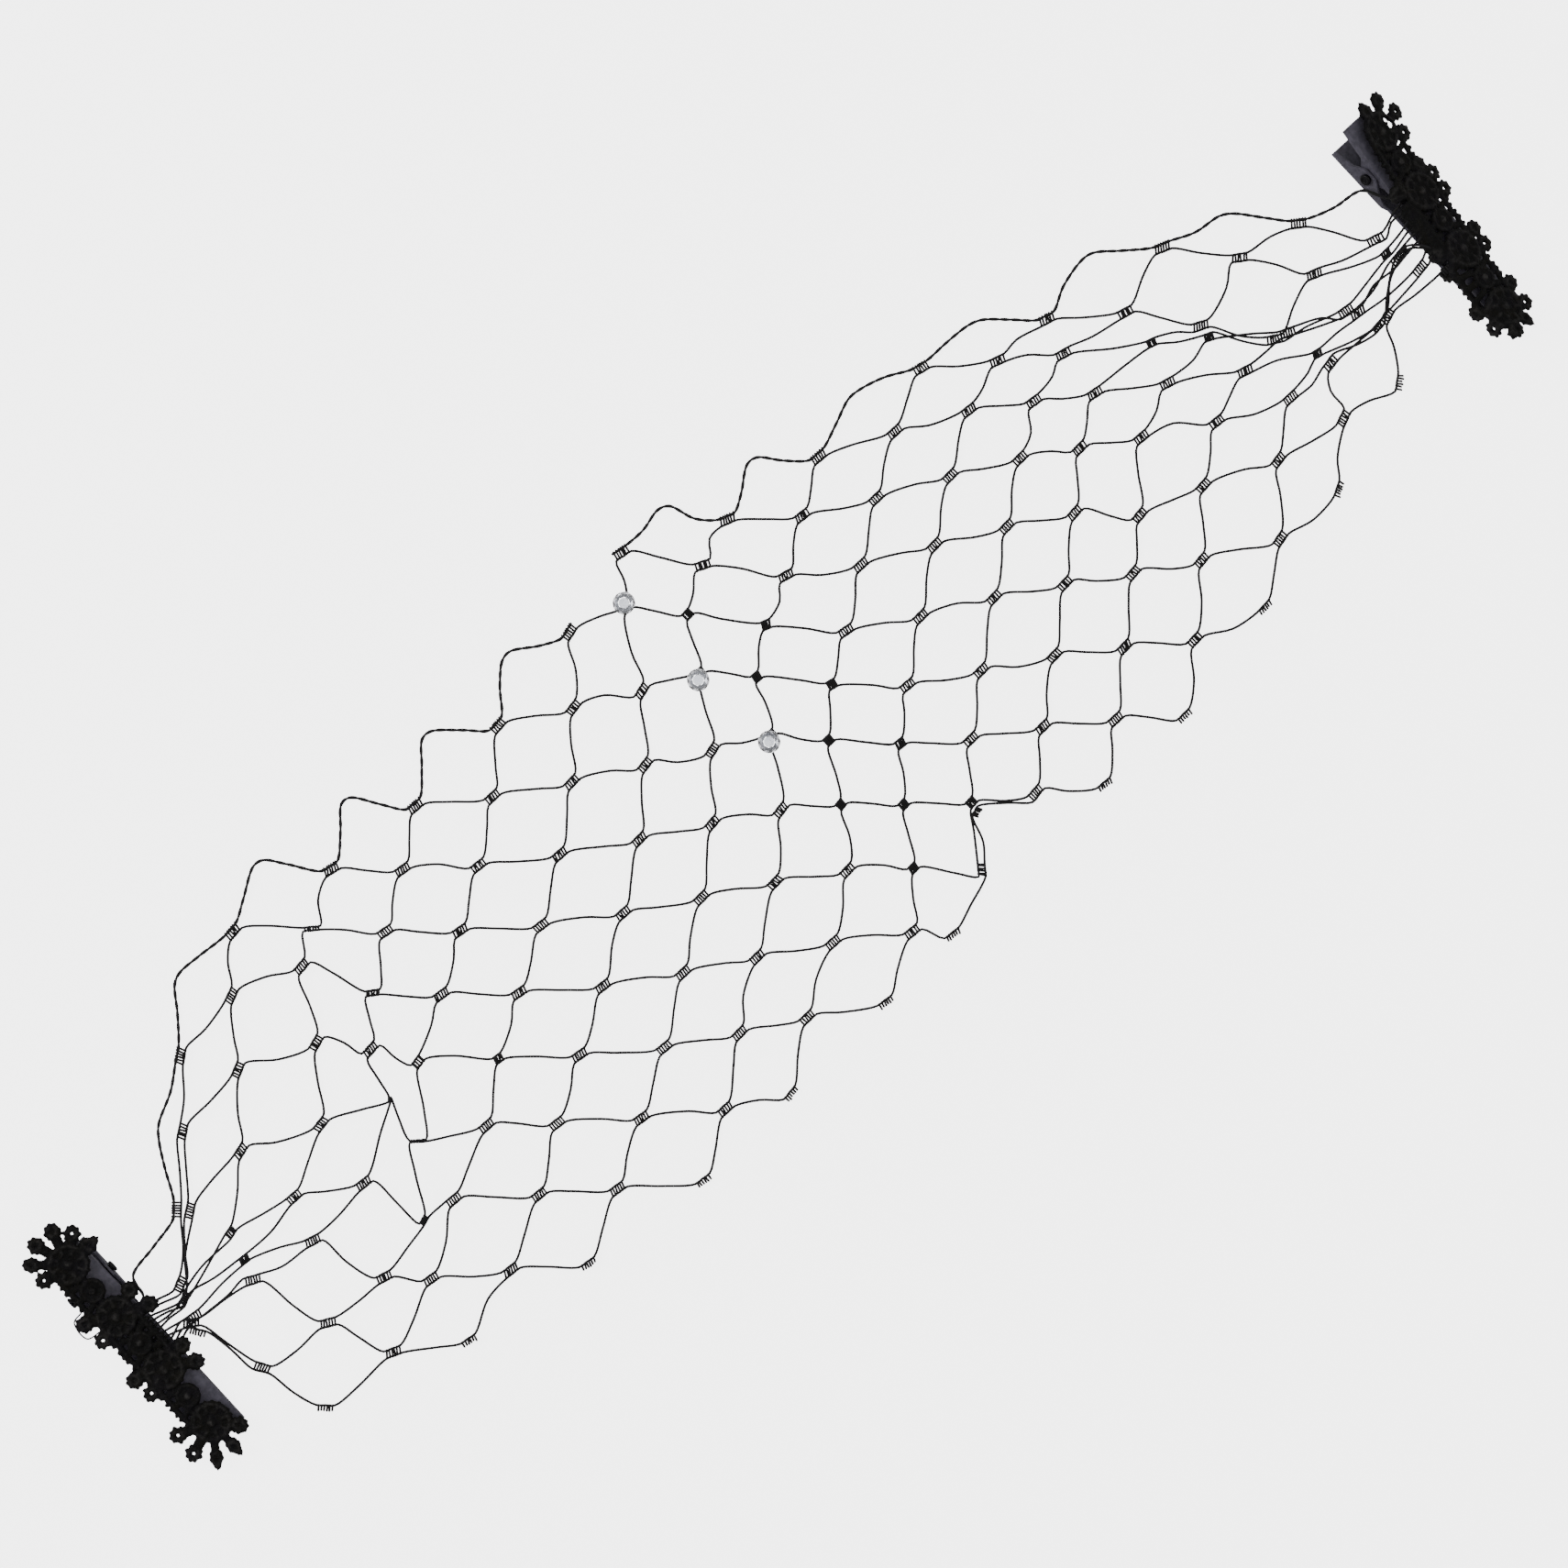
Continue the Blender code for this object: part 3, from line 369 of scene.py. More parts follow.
class Coat(Wiring):
    """The nodes of one new material round its Principled shader."""

    def __init__(self, name: str) -> None:
        """Start a material of this name.

        Args:
            name: the material's name.
        """
        self.material = bpy.data.materials.new(name)
        self.material.use_nodes = True
        super().__init__(self.material.node_tree)
        self.shader = self.tree.nodes["Principled BSDF"]
        self.spot = self.add("ShaderNodeTexCoord", {}).outputs["Object"]

    def relief(self, height: bpy.types.NodeSocket, depth: float, strength: float) -> None:
        """Feed a height to the shader's normal, where a height of 1 stands for the depth.

        Args:
            height: the height, 0 to about 1.
            depth: what a height of 1 stands for.
            strength: the bump's strength.
        """
        inputs = {"Strength": strength, "Distance": depth, "Height": height}
        bump = self.add("ShaderNodeBump", inputs)
        self.feed(self.shader, {"Normal": bump.outputs["Normal"]})

    def grain(self, scale: float) -> bpy.types.NodeSocket:
        """Height of a fine grain."""
        return self.group(grain_group(), {"Vector": self.spot, "Scale": scale})

    def speckle(self, scale: float) -> bpy.types.NodeSocket:
        """Noise over the object."""
        return self.noise(self.spot, scale)


@dataclass(frozen=True)
class Finish:
    """A material whose colour drifts from the first of its tints to the others in patches."""

    name: str
    tints: Tints
    patch_scale: float
    patch_amount: float
    settings: Settings

    def make(self) -> bpy.types.Material:
        """Build the material.

        Returns:
            The material.
        """
        coat = Coat(self.name)
        inputs = {"Vector": coat.spot, "Scale": self.patch_scale, "Amount": self.patch_amount}
        for label, tint in zip(("Colour", "Warm", "Cool"), self.tints):
            inputs[label] = (*tint, 1.0)
        coat.feed(coat.shader, dict(self.settings))
        colour = self.detail(coat, coat.group(mottle_group(), inputs))
        coat.feed(coat.shader, {"Base Color": colour})
        return coat.material

    def detail(self, coat: Coat, colour: bpy.types.NodeSocket) -> bpy.types.NodeSocket:
        """Add what this finish has of its own.

        Args:
            coat: the material's nodes.
            colour: the mottled colour.

        Returns:
            The colour for the shader.
        """
        return colour


@dataclass(frozen=True)
class YarnFinish(Finish):
    """Twisted nylon yarn. Its UV map runs round the yarn and along it, in millimetres."""

    name: str = "net yarn"
    tints: Tints = ((0.006, 0.0055, 0.006), (0.013, 0.010, 0.009), (0.008, 0.008, 0.012))
    patch_scale: float = 700.0
    patch_amount: float = 0.7
    settings: Settings = (
        ("Roughness", 0.62),
        ("Specular IOR Level", 0.35),
        ("Sheen Weight", 0.08),
        ("Sheen Roughness", 0.5),
    )
    plies: int = 2
    twist: float = 1.1
    ply_depth: float = 0.05 * MM
    fibre_scale: float = 9000.0

    def detail(self, coat: Coat, colour: bpy.types.NodeSocket) -> bpy.types.NodeSocket:
        """Wind the plies round the yarn and roughen them.

        Args:
            coat: the material's nodes.
            colour: the mottled colour.

        Returns:
            The colour, as it is.
        """
        axes = coat.add("ShaderNodeSeparateXYZ", {"Vector": coat.uv()}).outputs
        turn = coat.math("MULTIPLY", axes["X"], 2 * pi * self.plies)
        along = coat.math("MULTIPLY", axes["Y"], 2 * pi / self.twist)
        ply = coat.math("SINE", coat.math("ADD", turn, along))
        fibres = coat.math("MULTIPLY", coat.grain(self.fibre_scale), 0.9)
        coat.relief(coat.math("ADD", ply, fibres), self.ply_depth, 0.7)
        return colour


@dataclass(frozen=True)
class LaceFinish(Finish):
    """Satin-stitched embroidery thread. Its UV map runs from the middle of each loop, in mm."""

    name: str = "lace thread"
    tints: Tints = ((0.0036, 0.0034, 0.0034), (0.0075, 0.0065, 0.0040), (0.0055, 0.0045, 0.0075))
    patch_scale: float = 420.0
    patch_amount: float = 0.8
    settings: Settings = (
        ("Roughness", 0.45),
        ("Specular IOR Level", 0.14),
        ("Sheen Weight", 0.03),
        ("Sheen Roughness", 0.45),
    )
    # Painted sheen: a lighter colour painted on the crests of the raised threads
    painted_sheen_colour: Colour = (0.062, 0.058, 0.056)
    loop_radius: float = 2.0
    loop_stitches: float = 34.0
    round_stitches: float = 96.0
    stitch_depth: float = 0.16 * MM
    waver_scale: float = 900.0
    waver_swing: float = 7.0
    thread_scale: float = 3200.0

    def detail(self, coat: Coat, colour: bpy.types.NodeSocket) -> bpy.types.NodeSocket:
        """Raise the stitches, and paint a sheen highlight on the crests of those that stand up.

        Args:
            coat: the material's nodes.
            colour: the mottled colour.

        Returns:
            The colour with its light crests.
        """
        uv = coat.uv()
        axes = coat.add("ShaderNodeSeparateXYZ", {"Vector": uv}).outputs
        bearing = coat.math("ARCTAN2", axes["Y"], axes["X"])
        size = coat.add("ShaderNodeVectorMath", {0: uv}, operation="LENGTH").outputs["Value"]
        far = coat.math("GREATER_THAN", size, self.loop_radius)
        more = coat.math("MULTIPLY", far, self.round_stitches - self.loop_stitches)
        count = coat.math("ADD", more, self.loop_stitches)
        waver = coat.speckle(self.waver_scale)
        swerve = coat.math("MULTIPLY", waver, self.waver_swing)
        phase = coat.math("ADD", coat.math("MULTIPLY", bearing, count), swerve)
        stitch = coat.math("ABSOLUTE", coat.math("SINE", coat.math("MULTIPLY", phase, 0.5)))
        threads = coat.math("MULTIPLY", coat.grain(self.thread_scale), 1.3)
        height = coat.math("ADD", stitch, threads)
        coat.relief(height, self.stitch_depth, 0.9)
        # The crests of the raised threads get a painted sheen highlight, in patches
        sheen_crest = coat.spread(height, (0.9, 1.9))
        patchy = coat.spread(waver, (0.38, 0.66), (0.12, 1.0), "SMOOTHSTEP")
        painted_sheen = coat.math("MULTIPLY", sheen_crest, patchy)
        share = coat.math("MULTIPLY", coat.mark("rise"), painted_sheen)
        return coat.mix(share, colour, (*self.painted_sheen_colour, 1.0))


@dataclass(frozen=True)
class EnamelFinish(Finish):
    """Satin black enamel on stamped steel, lighter along its edges: rubbed wear with a painted edge
    highlight.
    """

    name: str = "clip enamel"
    tints: Tints = ((0.0050, 0.0045, 0.0065), (0.0070, 0.0060, 0.0065), (0.0060, 0.0058, 0.0105))
    patch_scale: float = 260.0
    patch_amount: float = 0.7
    settings: Settings = (
        ("Specular IOR Level", 0.22),
        ("Coat Weight", 0.08),
        ("Coat Roughness", 0.2),
    )
    # Pale colour painted along the bevelled edges: rubbed wear with a painted edge highlight
    edge: Colour = (0.150, 0.140, 0.180)
    roughness: tuple[float, float] = (0.26, 0.48)
    wear_and_highlight_scale: float = 900.0
    grain_scale: float = 1500.0
    grain_depth: float = 0.02 * MM

    def detail(self, coat: Coat, colour: bpy.types.NodeSocket) -> bpy.types.NodeSocket:
        """Paint the edges lighter, as rubbed wear with a painted edge highlight, and vary the gloss
        with a fine grain.

        Args:
            coat: the material's nodes.
            colour: the mottled colour.

        Returns:
            The colour with its lighter edges: rubbed wear and painted highlight.
        """
        wear_and_highlight = coat.math("ADD", coat.speckle(self.wear_and_highlight_scale), 0.25)
        share = coat.math("MULTIPLY", coat.mark("edge"), wear_and_highlight)
        grain = coat.grain(self.grain_scale)
        gloss = coat.spread(grain, (0.3, 1.0), self.roughness)
        coat.feed(coat.shader, {"Roughness": gloss})
        coat.relief(grain, self.grain_depth, 0.5)
        return coat.mix(share, colour, (*self.edge, 1.0))


@dataclass(frozen=True)
class StoneFinish(Finish):
    """Clear cut glass, with painted reflections: the facets that would mirror the room are painted
    darker.
    """

    name: str = "clear cut glass"
    tints: Tints = ((0.97, 0.98, 1.0), (1.0, 0.99, 0.98), (0.93, 0.95, 1.0))
    patch_scale: float = 300.0
    patch_amount: float = 0.5
    settings: Settings = (
        ("Roughness", 0.015),
        ("IOR", 1.56),
        ("Transmission Weight", 1.0),
    )
    # Grey painted into the marked facets as a painted reflection of the dark room
    painted_reflection_grey: Colour = (0.34, 0.34, 0.37)

    def detail(self, coat: Coat, colour: bpy.types.NodeSocket) -> bpy.types.NodeSocket:
        """Paint the marked facets darker, as painted reflections of the room."""
        return coat.mix(coat.mark("facet"), colour, (*self.painted_reflection_grey, 1.0))


@dataclass(frozen=True)
class FoilFinish(Finish):
    """Silvered backing under a stone, slightly uneven."""

    name: str = "stone backing"
    tints: Tints = ((0.86, 0.87, 0.90), (0.95, 0.94, 0.93), (0.52, 0.54, 0.60))
    patch_scale: float = 900.0
    patch_amount: float = 0.6
    settings: Settings = (("Metallic", 1.0), ("Roughness", 0.22))


@dataclass(frozen=True)
class TableFinish(Finish):
    """Plain matt white surface. It looks overexposed, but doesn't light the veil from below."""

    name: str = "white table"
    tints: Tints = ((0.93, 0.93, 0.93), (0.94, 0.935, 0.93), (0.92, 0.925, 0.93))
    patch_scale: float = 3.0
    patch_amount: float = 0.3
    settings: Settings = (("Roughness", 0.9), ("Specular IOR Level", 0.1))
    glow: float = 4.2

    def detail(self, coat: Coat, colour: bpy.types.NodeSocket) -> bpy.types.NodeSocket:
        """Glow for the camera and through the stones only.

        Args:
            coat: the material's nodes.
            colour: the mottled colour.

        Returns:
            The colour, as it is.
        """
        rays = coat.add("ShaderNodeLightPath", {}).outputs
        seen = coat.math("MAXIMUM", rays["Is Camera Ray"], rays["Is Transmission Ray"])
        glow = coat.math("MULTIPLY", seen, self.glow)
        coat.feed(coat.shader, {"Emission Color": WHITE, "Emission Strength": glow})
        return colour


# Mesh helpers


def deselect() -> None:
    """Leave edit mode and select nothing."""
    if bpy.context.object and bpy.context.object.mode != "OBJECT":
        bpy.ops.object.mode_set(mode="OBJECT")
    bpy.ops.object.select_all(action="DESELECT")


def pick(piece: bpy.types.Object) -> None:
    """Make one object the only one selected, and active.

    Args:
        piece: the object.
    """
    deselect()
    piece.select_set(True)
    bpy.context.view_layer.objects.active = piece


def join_pieces(pieces: list[bpy.types.Object], name: str) -> bpy.types.Object:
    """Join objects into the first of them.

    Args:
        pieces: the objects.
        name: the joined object's new name.

    Returns:
        The joined object.
    """
    deselect()
    for piece in pieces:
        piece.select_set(True)
    bpy.context.view_layer.objects.active = pieces[0]
    if len(pieces) > 1:
        bpy.ops.object.join()
    pieces[0].name = name
    return pieces[0]


def settle(piece: bpy.types.Object, matrix: Matrix | None = None) -> bpy.types.Object:
    """Put an object's place into its mesh, then move the mesh.

    Args:
        piece: the object.
        matrix: a further move, where there is one.

    Returns:
        The same object, at the origin.
    """
    piece.data.transform(piece.matrix_basis)
    piece.matrix_basis = Matrix.Identity(4)
    if matrix is not None:
        piece.data.transform(matrix)
    return piece


def new_object(name: str, data: bpy.types.ID) -> bpy.types.Object:
    """Make an object of some data and link it into the scene.

    Args:
        name: its name.
        data: its mesh, light or camera data.

    Returns:
        The new object.
    """
    made = bpy.data.objects.new(name, data)
    bpy.context.collection.objects.link(made)
    return made


def own_copy(node: str, ending: str) -> bpy.types.Object:
    """Copy a CAD node's mesh into an object of its own, with plain faces and shared corners.

    Args:
        node: the node's name.
        ending: what the copy's name adds to it.

    Returns:
        The copy, active and in object mode.
    """
    copy = new_object(node + ending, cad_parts[node].data.copy())
    pick(copy)
    if copy.data.has_custom_normals:
        bpy.ops.mesh.customdata_custom_splitnormals_clear()
    bpy.ops.object.mode_set(mode="EDIT")
    bpy.ops.mesh.select_all(action="SELECT")
    bpy.ops.mesh.remove_doubles(threshold=0.002 * MM)
    bpy.ops.mesh.dissolve_limited(angle_limit=radians(0.5))
    bpy.ops.object.mode_set(mode="OBJECT")
    return copy


def set_marks(mesh: bpy.types.Mesh, name: str, domain: str, values: list[float]) -> None:
    """Give a mesh a number at each point or face, which its material reads."""
    layer = mesh.attributes.new(name, "FLOAT", domain)
    layer.data.foreach_set("value", values)


def modify(piece: bpy.types.Object, kind: str, **settings: object) -> None:
    """Add a modifier and apply it.

    Args:
        piece: the object.
        kind: the modifier's type.
        settings: the modifier's properties.
    """
    pick(piece)
    bpy.ops.object.modifier_add(type=kind)
    modifier = piece.modifiers[-1]
    for name, value in settings.items():
        setattr(modifier, name, value)
    bpy.ops.object.modifier_apply(modifier=modifier.name)


def dress(
    piece: bpy.types.Object,
    finish: bpy.types.Material,
    body: str = "veil",
    node: str | None = None,
) -> None:
    """Give a finished piece its material and the body that it rides on.

    Args:
        piece: the object.
        finish: its material.
        body: the name of the body.
        node: the CAD node that it replaces, where it replaces one.
    """
    piece.data.materials.clear()
    piece.data.materials.append(finish)
    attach(piece, body)
    if node:
        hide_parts(node)
    LOG.info("%s: %d faces on %s", piece.name, len(piece.data.polygons), body)


def smooth_path(points: list[Vector], spacing: float) -> list[Vector]:
    """Points along a smooth curve through some places.

    Args:
        points: the places.
        spacing: about how far apart the curve's points are.

    Returns:
        The curve's points.
    """
    times = [0.0]
    for first, second in zip(points, points[1:]):
        times.append(times[-1] + max((second - first).length, 1e-7) ** 0.5)
    slopes = []
    last = len(points) - 1
    for i, here in enumerate(points):
        before = (here - points[i - 1]) / (times[i] - times[i - 1]) if i else None
        after = (points[i + 1] - here) / (times[i + 1] - times[i]) if i < last else None
        if before is None or after is None:
            slopes.append(before or after)
            continue
        both = (points[i + 1] - points[i - 1]) / (times[i + 1] - times[i - 1])
        slopes.append(before - both + after)
    path = [points[0].copy()]
    for i in range(last):
        run = times[i + 1] - times[i]
        steps = max(2, round((points[i + 1] - points[i]).length / spacing))
        for step in range(1, steps + 1):
            s = step / steps
            path.append(
                points[i] * (2 * s**3 - 3 * s**2 + 1)
                + slopes[i] * run * (s**3 - 2 * s**2 + s)
                + points[i + 1] * (3 * s**2 - 2 * s**3)
                + slopes[i + 1] * run * (s**3 - s**2)
            )
    return path


class TubeMesh:
    """A mesh of round yarns, with a UV map that runs round and along each, in millimetres."""

    def __init__(self) -> None:
        """Start with no yarns."""
        self.body = bmesh.new()
        self.uv = self.body.loops.layers.uv.new("UVMap")

    def sweep(self, path: list[Vector], radius: float, sides: int, taper: float = 1.0) -> None:
        """Add a round yarn along a path.

        Args:
            path: the points along its middle.
            radius: its radius.
            sides: how many sides it has.
            taper: the share of the radius that is left at its two ends.
        """
        tangents = []
        for i in range(len(path)):
            ahead, behind = path[min(i + 1, len(path) - 1)], path[max(i - 1, 0)]
            tangents.append((ahead - behind).normalized())
        normal = tangents[0].orthogonal().normalized()
        rings, lengths = [], [0.0]
        for i, (place, tangent) in enumerate(zip(path, tangents)):
            normal = (normal - tangent * normal.dot(tangent)).normalized()
            side = tangent.cross(normal)
            size = radius * (taper if i in (0, len(path) - 1) else 1.0)
            ring = []
            for k in range(sides):
                angle = 2 * pi * k / sides
                spot = place + size * (normal * cos(angle) + side * sin(angle))
                ring.append(self.body.verts.new(spot))
            rings.append(ring)
            if i:
                lengths.append(lengths[-1] + (place - path[i - 1]).length / MM)
        for i in range(len(rings) - 1):
            for k in range(sides):
                j = (k + 1) % sides
                face = self.body.faces.new(
                    (rings[i][k], rings[i][j], rings[i + 1][j], rings[i + 1][k])
                )
                marks = ((k, i), (k + 1, i), (k + 1, i + 1), (k, i + 1))
                for loop, (around, along) in zip(face.loops, marks):
                    loop[self.uv].uv = (around / sides, lengths[along])
        self.body.faces.new(rings[0][::-1])
        self.body.faces.new(rings[-1])

    def make(self, name: str, shift: Vector) -> bpy.types.Object:
        """Turn the yarns into an object.

        Args:
            name: the object's name.
            shift: how far it is moved.

        Returns:
            The object, shaded smooth.
        """
        for face in self.body.faces:
            face.smooth = len(face.verts) == 4
        mesh = bpy.data.meshes.new(name)
        self.body.to_mesh(mesh)
        self.body.free()
        mesh.transform(Matrix.Translation(shift))
        return new_object(name, mesh)


# Where the clips lie


@dataclass(frozen=True)
class ClipLay:
    """One alligator clip as it lies, with the sizes of its levers."""

    name: str
    net_side: int
    turn: float
    roll: float
    tab_width: float
    lace_offset: tuple[float, float]
    lace_skew: float
    spacing: float = 369.3 * MM
    length: float = 54.8 * MM
    lever_width: float = 9.2 * MM
    tail_length: float = 11.0 * MM
    ear_sheet: float = 0.5 * MM
    fit_gap: float = 0.3 * MM
    pin_height: float = 3.2 * MM
    pin_radius: float = 0.8 * MM
    tip_height: float = 2.0 * MM
    shoulder_height: float = 5.6 * MM
    tail_height: float = 8.2 * MM
    tab_depth: float = 6.0 * MM
    net_height: float = 0.6 * MM
    shoulder_gap: float = 0.5 * MM

    @property
    def middle(self) -> float:
        """Where its middle is along the veil."""
        return -self.net_side * self.spacing / 2

    @property
    def pin_along(self) -> float:
        """Where its hinge pin is along the clip."""
        return self.length / 2 - self.tail_length

    @property
    def ear_outside(self) -> float:
        """Half the width over the lower lever's ears."""
        return self.lever_width / 2 + self.fit_gap + self.ear_sheet

    @property
    def lift(self) -> float:
        """How far its base is raised so that its lowest edge stays on the table."""
        return self.ear_outside * abs(sin(self.roll))

    def upper_top(self, along: float) -> float:
        """Height of the upper lever's outer face above the clip's base.

        Args:
            along: the place along the clip.

        Returns:
            The height.
        """
        tip, tail = -self.length / 2, self.length / 2
        shoulder = self.pin_along - self.pin_radius - self.fit_gap - self.shoulder_gap
        if along < shoulder:
            first, second = (tip, self.tip_height), (shoulder, self.shoulder_height)
        else:
            first, second = (shoulder, self.shoulder_height), (tail, self.tail_height)
        share = (along - first[0]) / (second[0] - first[0])
        return first[1] + (second[1] - first[1]) * share

    def place(self) -> Matrix:
        """From the clip's own frame to the table's, before the veil is centred."""
        turned = Matrix.Rotation(self.turn, 4, "Z") @ Matrix.Rotation(self.roll, 4, "Y")
        return Matrix.Translation((self.middle, 0.0, self.lift)) @ turned

    def to_plan(self, point: Vector) -> Vector:
        """A place on the table, across and along the clip."""
        return Matrix.Rotation(-self.turn, 2) @ (point - Vector((self.middle, 0.0)))

    def from_plan(self, across: float, along: float) -> Vector:
        """The place on the table of a point across and along the clip."""
        return Matrix.Rotation(self.turn, 2) @ Vector((across, along)) + Vector((self.middle, 0.0))

    def deck_height(self, across: float, along: float) -> float:
        """Height of the net where it lies on the upper lever."""
        level = self.upper_top(along) + self.fit_gap + self.net_height / 2
        return self.lift + level / cos(self.roll) - tan(self.roll) * across

    def deck_edge(self, along: float) -> float:
        """How far across the clip the upper lever's edge on the net's side is."""
        half = self.net_side * self.lever_width / 2
        return half * cos(self.roll) + self.upper_top(along) * sin(self.roll)

    def tab_point(self, share: float, depth: float = 0.0) -> Vector:
        """Where a gathered yarn reaches the lever, or goes further in under the lace."""
        along = self.tab_width * (0.5 - share)
        return self.from_plan(self.deck_edge(along) - self.net_side * depth, along)


CLIP_A = ClipLay(
    "a", 1, radians(1.6), 0.0, 12.5 * MM, (-0.6 * MM, -0.1 * MM), radians(-1.0)
)
CLIP_B = ClipLay(
    "b", -1, radians(2.0), radians(35.0), 18.0 * MM, (-0.2 * MM, -1.3 * MM), radians(-5.0)
)


class Ladder(NamedTuple):
    """One knot: two strands side by side, with short rungs wound across them."""

    centre: Vector
    axis: Vector
    across: Vector
    half_length: float
    half_gap: float


@dataclass
class NetPlan:
    """The lattice of knots: where each ladder lies and how high the net is there."""

    net_width: float = 110.0 * MM
    mesh_side: float = 16.0 * MM
    ladder_length: float = 4.0 * MM
    ladder_gap: float = 1.7 * MM
    ripple_height: float = 2.4 * MM
    ripple_pitch: float = 30.0 * MM
    fold_reach: float = 14.0 * MM
    fold_sharpness: float = 4.0
    rise_run: float = 15.0 * MM
    gather_run: float = 30.0 * MM
    flat_share: float = 0.42
    corner_rounding: float = 1.5 * MM
    last_row: int = 11
    cut_row: int = 10
    first_half: int = -1
    last_half: int = 27
    stone_half: int = 13
    stone_rows: tuple[int, ...] = (1, 3, 5)
    stone_peeks: tuple[tuple[float, float], ...] = ((-0.5, -1.1), (1.4, 0.9), (1.4, 0.9))
    shift: Vector = field(default_factory=lambda: Vector((0.0, 0.0, 0.0)))

    def __post_init__(self) -> None:
        """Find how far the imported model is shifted, from where its first stone is."""
        low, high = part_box("rhinestone_1")
        there = self.lattice_centre(self.stone_half, self.stone_rows[0])
        self.shift = Vector(
            ((low.x + high.x) / 2 - there.x, (low.y + high.y) / 2 - there.y, 0.0)
        )

    def between_sections(self, section: float, column: int) -> float:
        """A column of the section table at any section, on a smooth curve.

        Args:
            section: the section, with its fraction.
            column: the column.

        Returns:
            The value there.
        """
        last = len(SECTIONS) - 1
        start = min(max(floor(section), 0), last - 1)
        share = section - start

        def row(index: int) -> float:
            """The table's value, carried on straight past its ends."""
            if index < 0:
                return 2 * SECTIONS[0][column] - SECTIONS[1][column]
            if index > last:
                return 2 * SECTIONS[last][column] - SECTIONS[last - 1][column]
            return SECTIONS[index][column]

        before, here, there, after = (row(start + step) for step in (-1, 0, 1, 2))
        return 0.5 * (
            2 * here
            + (there - before) * share
            + (2 * before - 5 * here + 4 * there - after) * share**2
            + (3 * here - before - 3 * there + after) * share**3
        )

    def net_point(self, section: float, row: float) -> Vector:
        """Place of the lattice at a section and a row, before folds pull it aside.

        Args:
            section: the section, with its fraction.
            row: the row.

        Returns:
            The place on the table.
        """
        share = row / self.cut_row
        weights = (
            (1 - share) * (1 - 2 * share),
            4 * share * (1 - share),
            share * (2 * share - 1),
        )
        along = sum(weights[i] * self.between_sections(section, 2 * i) for i in range(3))
        across = sum(weights[i] * self.between_sections(section, 2 * i + 1) for i in range(3))
        return Vector((along * CLIP_A.spacing, across * self.net_width))

    def lattice_centre(self, half: int, row: int) -> Vector:
        """Place of a knot of the open net."""
        along, across, _ = FOLDS.get((half, row), (0.0, 0.0, 0.0))
        return self.net_point(half / 2, row) + Vector((along, across)) * self.mesh_side

    def knot_centre(self, half: int, row: int) -> Vector:
        """Place of any knot, gathered ones and those under the stones too.

        Args:
            half: the knot's half section along the veil.
            row: its row across the veil.

        Returns:
            Its place on the table.
        """
        if (half, row) in GATHERED:
            along, across = GATHERED[half, row]
            clip = CLIP_A if half < self.stone_half else CLIP_B
            return Vector((clip.middle + along * MM, across * MM))
        centre = self.lattice_centre(half, row)
        if half == self.stone_half and row in self.stone_rows:
            centre += Vector(self.stone_peeks[self.stone_rows.index(row)]) * MM
        return centre

    def ladder_axis(self, half: int, row: int) -> Vector:
        """Direction of a ladder, along the veil.

        Args:
            half: the knot's half section along the veil.
            row: its row across the veil.

        Returns:
            The unit direction on the table.
        """
        if self.first_half + 1 < half < self.last_half - 1:
            ahead = self.net_point(half / 2 + 0.5, row)
            return (ahead - self.net_point(half / 2 - 0.5, row)).normalized()
        ends = []
        for step in (-1, 1):
            near = []
            for other in (row - 1, row + 1):
                if not 0 <= other <= self.last_row:
                    continue
                if self.first_half <= half + step <= self.last_half:
                    near.append(self.knot_centre(half + step, other))
                else:
                    clip = CLIP_A if step < 0 else CLIP_B
                    near.append(clip.tab_point(other / self.last_row))
            ends.append(sum(near, Vector((0.0, 0.0))) / len(near))
        return (ends[1] - ends[0]).normalized()

    def ladder(self, half: int, row: int) -> Ladder:
        """The ladder of a knot, squeezed and turned as the table says.

        Args:
            half: the knot's half section along the veil.
            row: its row across the veil.

        Returns:
            The ladder.
        """
        length, width, turn = PINCHES.get((half, row), (1.0, 1.0, 0.0))
        axis = Matrix.Rotation(radians(turn), 2) @ self.ladder_axis(half, row)
        across = Vector((-axis.y, axis.x))
        half_length, half_gap = self.ladder_length / 2 * length, self.ladder_gap / 2 * width
        return Ladder(self.knot_centre(half, row), axis, across, half_length, half_gap)

    def ladders(self) -> list[tuple[int, int]]:
        """Half and row of every knot.

        Returns:
            A pair of half section and row for each.
        """
        return [
            (half, row)
            for half in range(self.first_half, self.last_half + 1)
            for row in range(self.last_row + 1)
            if (half + row) % 2 == 0
        ]

